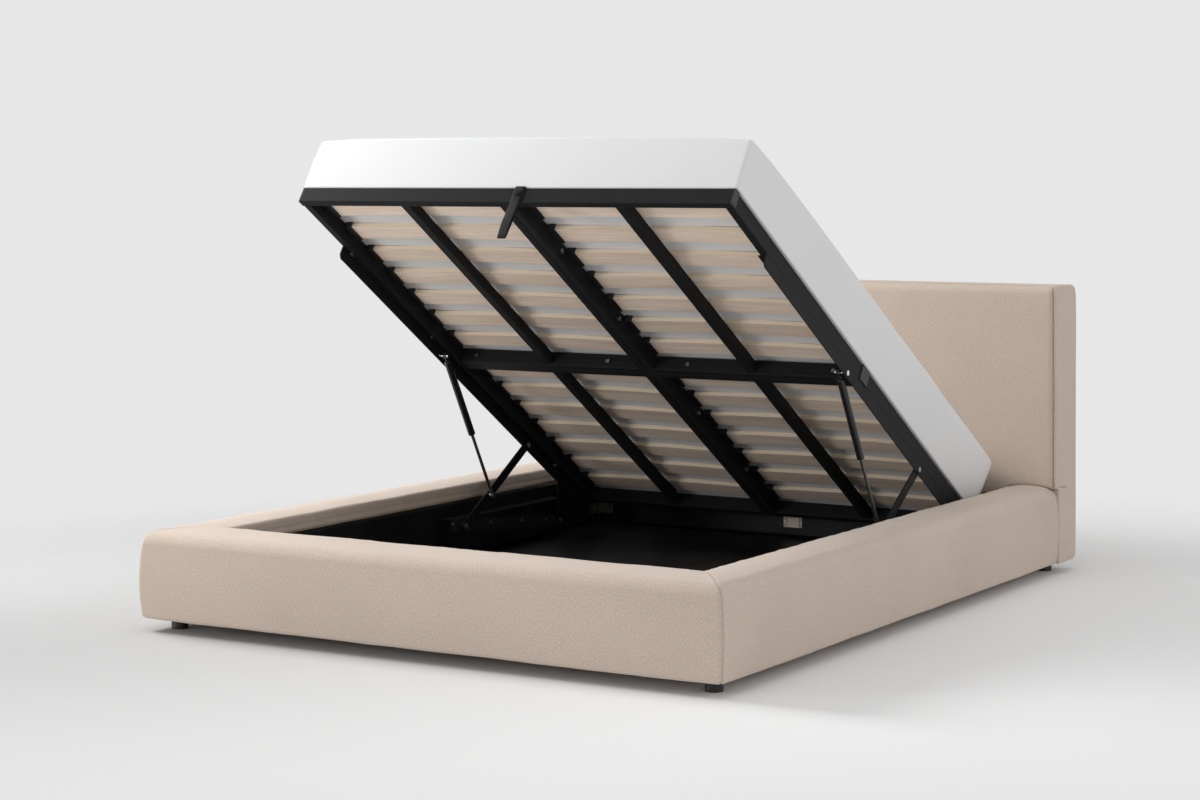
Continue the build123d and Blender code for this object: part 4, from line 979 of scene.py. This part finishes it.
# Pull strap
def pull_strap():
    """The webbing loop on the foot tube: two strands, folded over the tube's top edge and at the tip."""
    low, high = frame_span("pull_strap")
    width = high[1] - low[1]
    middle_x = (low[1] + high[1]) / 2
    far, near = low[0] + STRAP_LAYER / 2, high[0] - STRAP_LAYER / 2
    turn, middle = (near - far) / 2, (far + near) / 2
    bolt_low, bolt_high = frame_span("strap_bolt")
    hold_n = (bolt_low[2] + bolt_high[2]) / 2
    tip, fold = low[2] + STRAP_TIP, high[2] - turn
    angles = np.linspace(0, pi, 9)
    line = [(far, tip), (far, fold)]
    line += [(middle - turn * cos(a), fold - STRAP_LAYER / 2 + turn * sin(a)) for a in angles[1:]]
    line += [(near, tip)]
    line += [(middle + turn * cos(a), tip - turn * sin(a)) for a in angles[1:-1]]
    path = evenly(line, STRAP_STEP, closed=True)
    front = smoothstep(near, far, path[:, 0])
    n = path[:, 1]
    lean = STRAP_OFFSET - STRAP_OFFSET * front - STRAP_FRONT_LEAN * np.maximum(high[2] - n, 0.0) * front
    lean = lean - STRAP_BACK_LEAN * np.maximum(hold_n - n, 0.0) * (1.0 - front)
    taper = 1.0 - STRAP_TAPER * np.exp(-np.maximum(n - low[2], 0.0) / STRAP_TAPER_REACH)
    bulk = STRAP_BULK * np.exp(-(((n - (low[2] + STRAP_BULK_HEIGHT)) / STRAP_BULK_REACH) ** 2)) * front
    across = np.linspace(-0.5, 0.5, 9)
    grid = np.zeros((len(path), len(across), 3))
    cupped = STRAP_CUP * (4.0 * across**2)[None, :] * (2.0 * front - 1.0)[:, None]
    grid[..., 0] = (path[:, 0] - bulk)[:, None] + cupped
    grid[..., 1] = middle_x + lean[:, None] + across[None, :] * width * taper[:, None]
    grid[..., 2] = n[:, None]
    run = run_along(path)
    uvs = np.stack(np.broadcast_arrays((across * width)[None, :], run[:, None]), axis=2)
    faces = grid_faces(len(path), len(across), close_rows=True)
    strap = mesh_piece("pull_strap_webbing", from_frame(grid).reshape(-1, 3), faces, uvs.reshape(-1, 2))
    thicken(strap, STRAP_LAYER, 0.0)
    finished(strap, "lift_frame", "webbing", PAINTS["webbing"], "pull_strap")


# Welds
def weld_bead(name, start, end):
    """A lumpy fillet weld between two points of the lift frame."""
    length = np.linalg.norm(end - start)
    rings = max(6, int(length / WELD_STEP))
    axis = (end - start) / length
    side = np.cross(axis, UP)
    if np.linalg.norm(side) < 0.1:
        side = np.cross(axis, ALONG)
    side = side / np.linalg.norm(side)
    other = np.cross(axis, side)
    grid = np.zeros((rings + 1, WELD_SIDES, 3))
    for k in range(rings + 1):
        t = k / rings
        tapered = min(1.0, 6.0 * min(t, 1.0 - t) + 0.25)
        lump = WELD_RADIUS * (WELD_THIN + WELD_LUMP * abs(sin(t * length / WELD_RIPPLE * pi))) * tapered
        for j in range(WELD_SIDES):
            a = tau * j / WELD_SIDES
            grid[k, j] = start + axis * length * t + (side * cos(a) + other * sin(a)) * lump
    faces = grid_faces(rings + 1, WELD_SIDES, close_columns=True)
    faces += [tuple(range(WELD_SIDES))[::-1], tuple(rings * WELD_SIDES + j for j in range(WELD_SIDES))]
    bead = mesh_piece(name, grid.reshape(-1, 3), faces)
    finished(bead, "lift_frame", "black_steel", PAINTS["black_steel"])


def welds():
    """Fillet welds where the inner bars and long tubes meet the cross tubes."""
    low, high = frame_span("inner_bars")
    mid_low, mid_high = frame_span("mid_cross_tubes")
    points = np.array([v.co for v in frame["nodes"]["inner_bars"].data.vertices])
    places = points @ ACROSS
    joints = (low[0], high[0], mid_low[0], mid_high[0])
    heights = (low[2] + WELD_INSET, high[2] - WELD_INSET)
    seams = []
    for side in (-1.0, 1.0):
        own = places[places * side > 0]
        sides = (own.min(), own.max())
        for x in sides:
            for s in joints:
                seams.append([s * ALONG + x * ACROSS + n * UP for n in heights])
        for s in joints:
            seams.append([s * ALONG + x * ACROSS + low[2] * UP for x in sides])
    for count, (start, end) in enumerate(seams):
        weld_bead(f"weld_{count}", start, end)


# Stage, light and camera
def floor_disc():
    """A pale floor with painted shade round a place on the left, fading into the backdrop."""
    ground = Shader("ground", 0.9)
    # painted shade: the floor colour is darker where the left lamps' pool of light falls
    ground.colour(ground.mix(ground.beyond(FLOOR_SHADE_PLACE, FLOOR_SHADE_REACH), FLOOR_PAINTED_SHADE, FLOOR))
    ground.surface(Specular_IOR_Level=0.1)
    fade = ground.beyond(FADE_PLACE, FADE_REACH)
    clear = ground.add("ShaderNodeBsdfTransparent")
    both = ground.add("ShaderNodeMixShader", {0: fade, 1: ground.out.outputs[0], 2: clear.outputs[0]})
    output = next(n for n in ground.tree.nodes if n.type == "OUTPUT_MATERIAL")
    ground.tree.links.new(both.outputs[0], output.inputs["Surface"])
    rings = np.linspace(0.0, FLOOR_RADIUS, FLOOR_RINGS)
    angles = np.linspace(0.0, tau, FLOOR_SPOKES + 1)[:-1]
    grid = np.array([[(r * cos(a), r * sin(a), 0.0) for a in angles] for r in rings])
    faces = grid_faces(FLOOR_RINGS, FLOOR_SPOKES, close_columns=True)
    floor = mesh_piece("floor", grid.reshape(-1, 3), faces)
    floor.data.materials.append(ground.material)


def studio_world():
    """An even white world, seen as the backdrop by the camera and in shiny surfaces."""
    world = bpy.data.worlds.new("studio")
    bpy.context.scene.world = world
    world.use_nodes = True
    tree = world.node_tree
    background = tree.nodes["Background"]
    background.inputs["Color"].default_value = (1.0, 1.0, 1.0, 1.0)
    background.inputs["Strength"].default_value = WORLD_LIGHT
    seen = tree.nodes.new("ShaderNodeBackground")
    seen.inputs["Color"].default_value = (*BACKDROP, 1.0)
    path = tree.nodes.new("ShaderNodeLightPath")
    choice = tree.nodes.new("ShaderNodeMixShader")
    seen_by = path.outputs["Is Camera Ray"]
    for kind in ("Is Glossy Ray", "Is Transmission Ray"):
        either = tree.nodes.new("ShaderNodeMath")
        either.operation = "MAXIMUM"
        tree.links.new(seen_by, either.inputs[0])
        tree.links.new(path.outputs[kind], either.inputs[1])
        seen_by = either.outputs[0]
    tree.links.new(seen_by, choice.inputs[0])
    tree.links.new(background.outputs[0], choice.inputs[1])
    tree.links.new(seen.outputs[0], choice.inputs[2])
    tree.links.new(choice.outputs[0], tree.nodes["World Output"].inputs["Surface"])


def lamps():
    """Soft disc lamps."""
    for name, place, target, size, power, spread in LAMPS:
        light = bpy.data.lights.new(name, "AREA")
        light.shape = "DISK"
        light.size = size
        light.energy = power
        light.spread = radians(spread)
        lamp = bpy.data.objects.new(name, light)
        lamp.location = place
        lamp.rotation_euler = (Vector(target) - Vector(place)).to_track_quat("-Z", "Y").to_euler()
        bpy.context.scene.collection.objects.link(lamp)


def camera_view():
    """The camera and the view settings."""
    scene = bpy.context.scene
    scene.view_settings.view_transform = "Standard"
    lens = bpy.data.cameras.new("camera")
    lens.lens = CAMERA_LENS
    lens.sensor_width = CAMERA_SENSOR
    lens.shift_y = CAMERA_SHIFT_Y
    camera = bpy.data.objects.new("camera", lens)
    camera.location = CAMERA_PLACE
    camera.rotation_euler = (pi / 2, 0.0, CAMERA_YAW)
    scene.collection.objects.link(camera)
    scene.camera = camera


paint_cad_nodes()
rails()
headboard_border()
headboard_front()
mattress()
for wall, wall_seed in LININGS:
    lining_sheet(wall, wall_seed)
pull_strap()
welds()
floor_disc()
studio_world()
lamps()
camera_view()
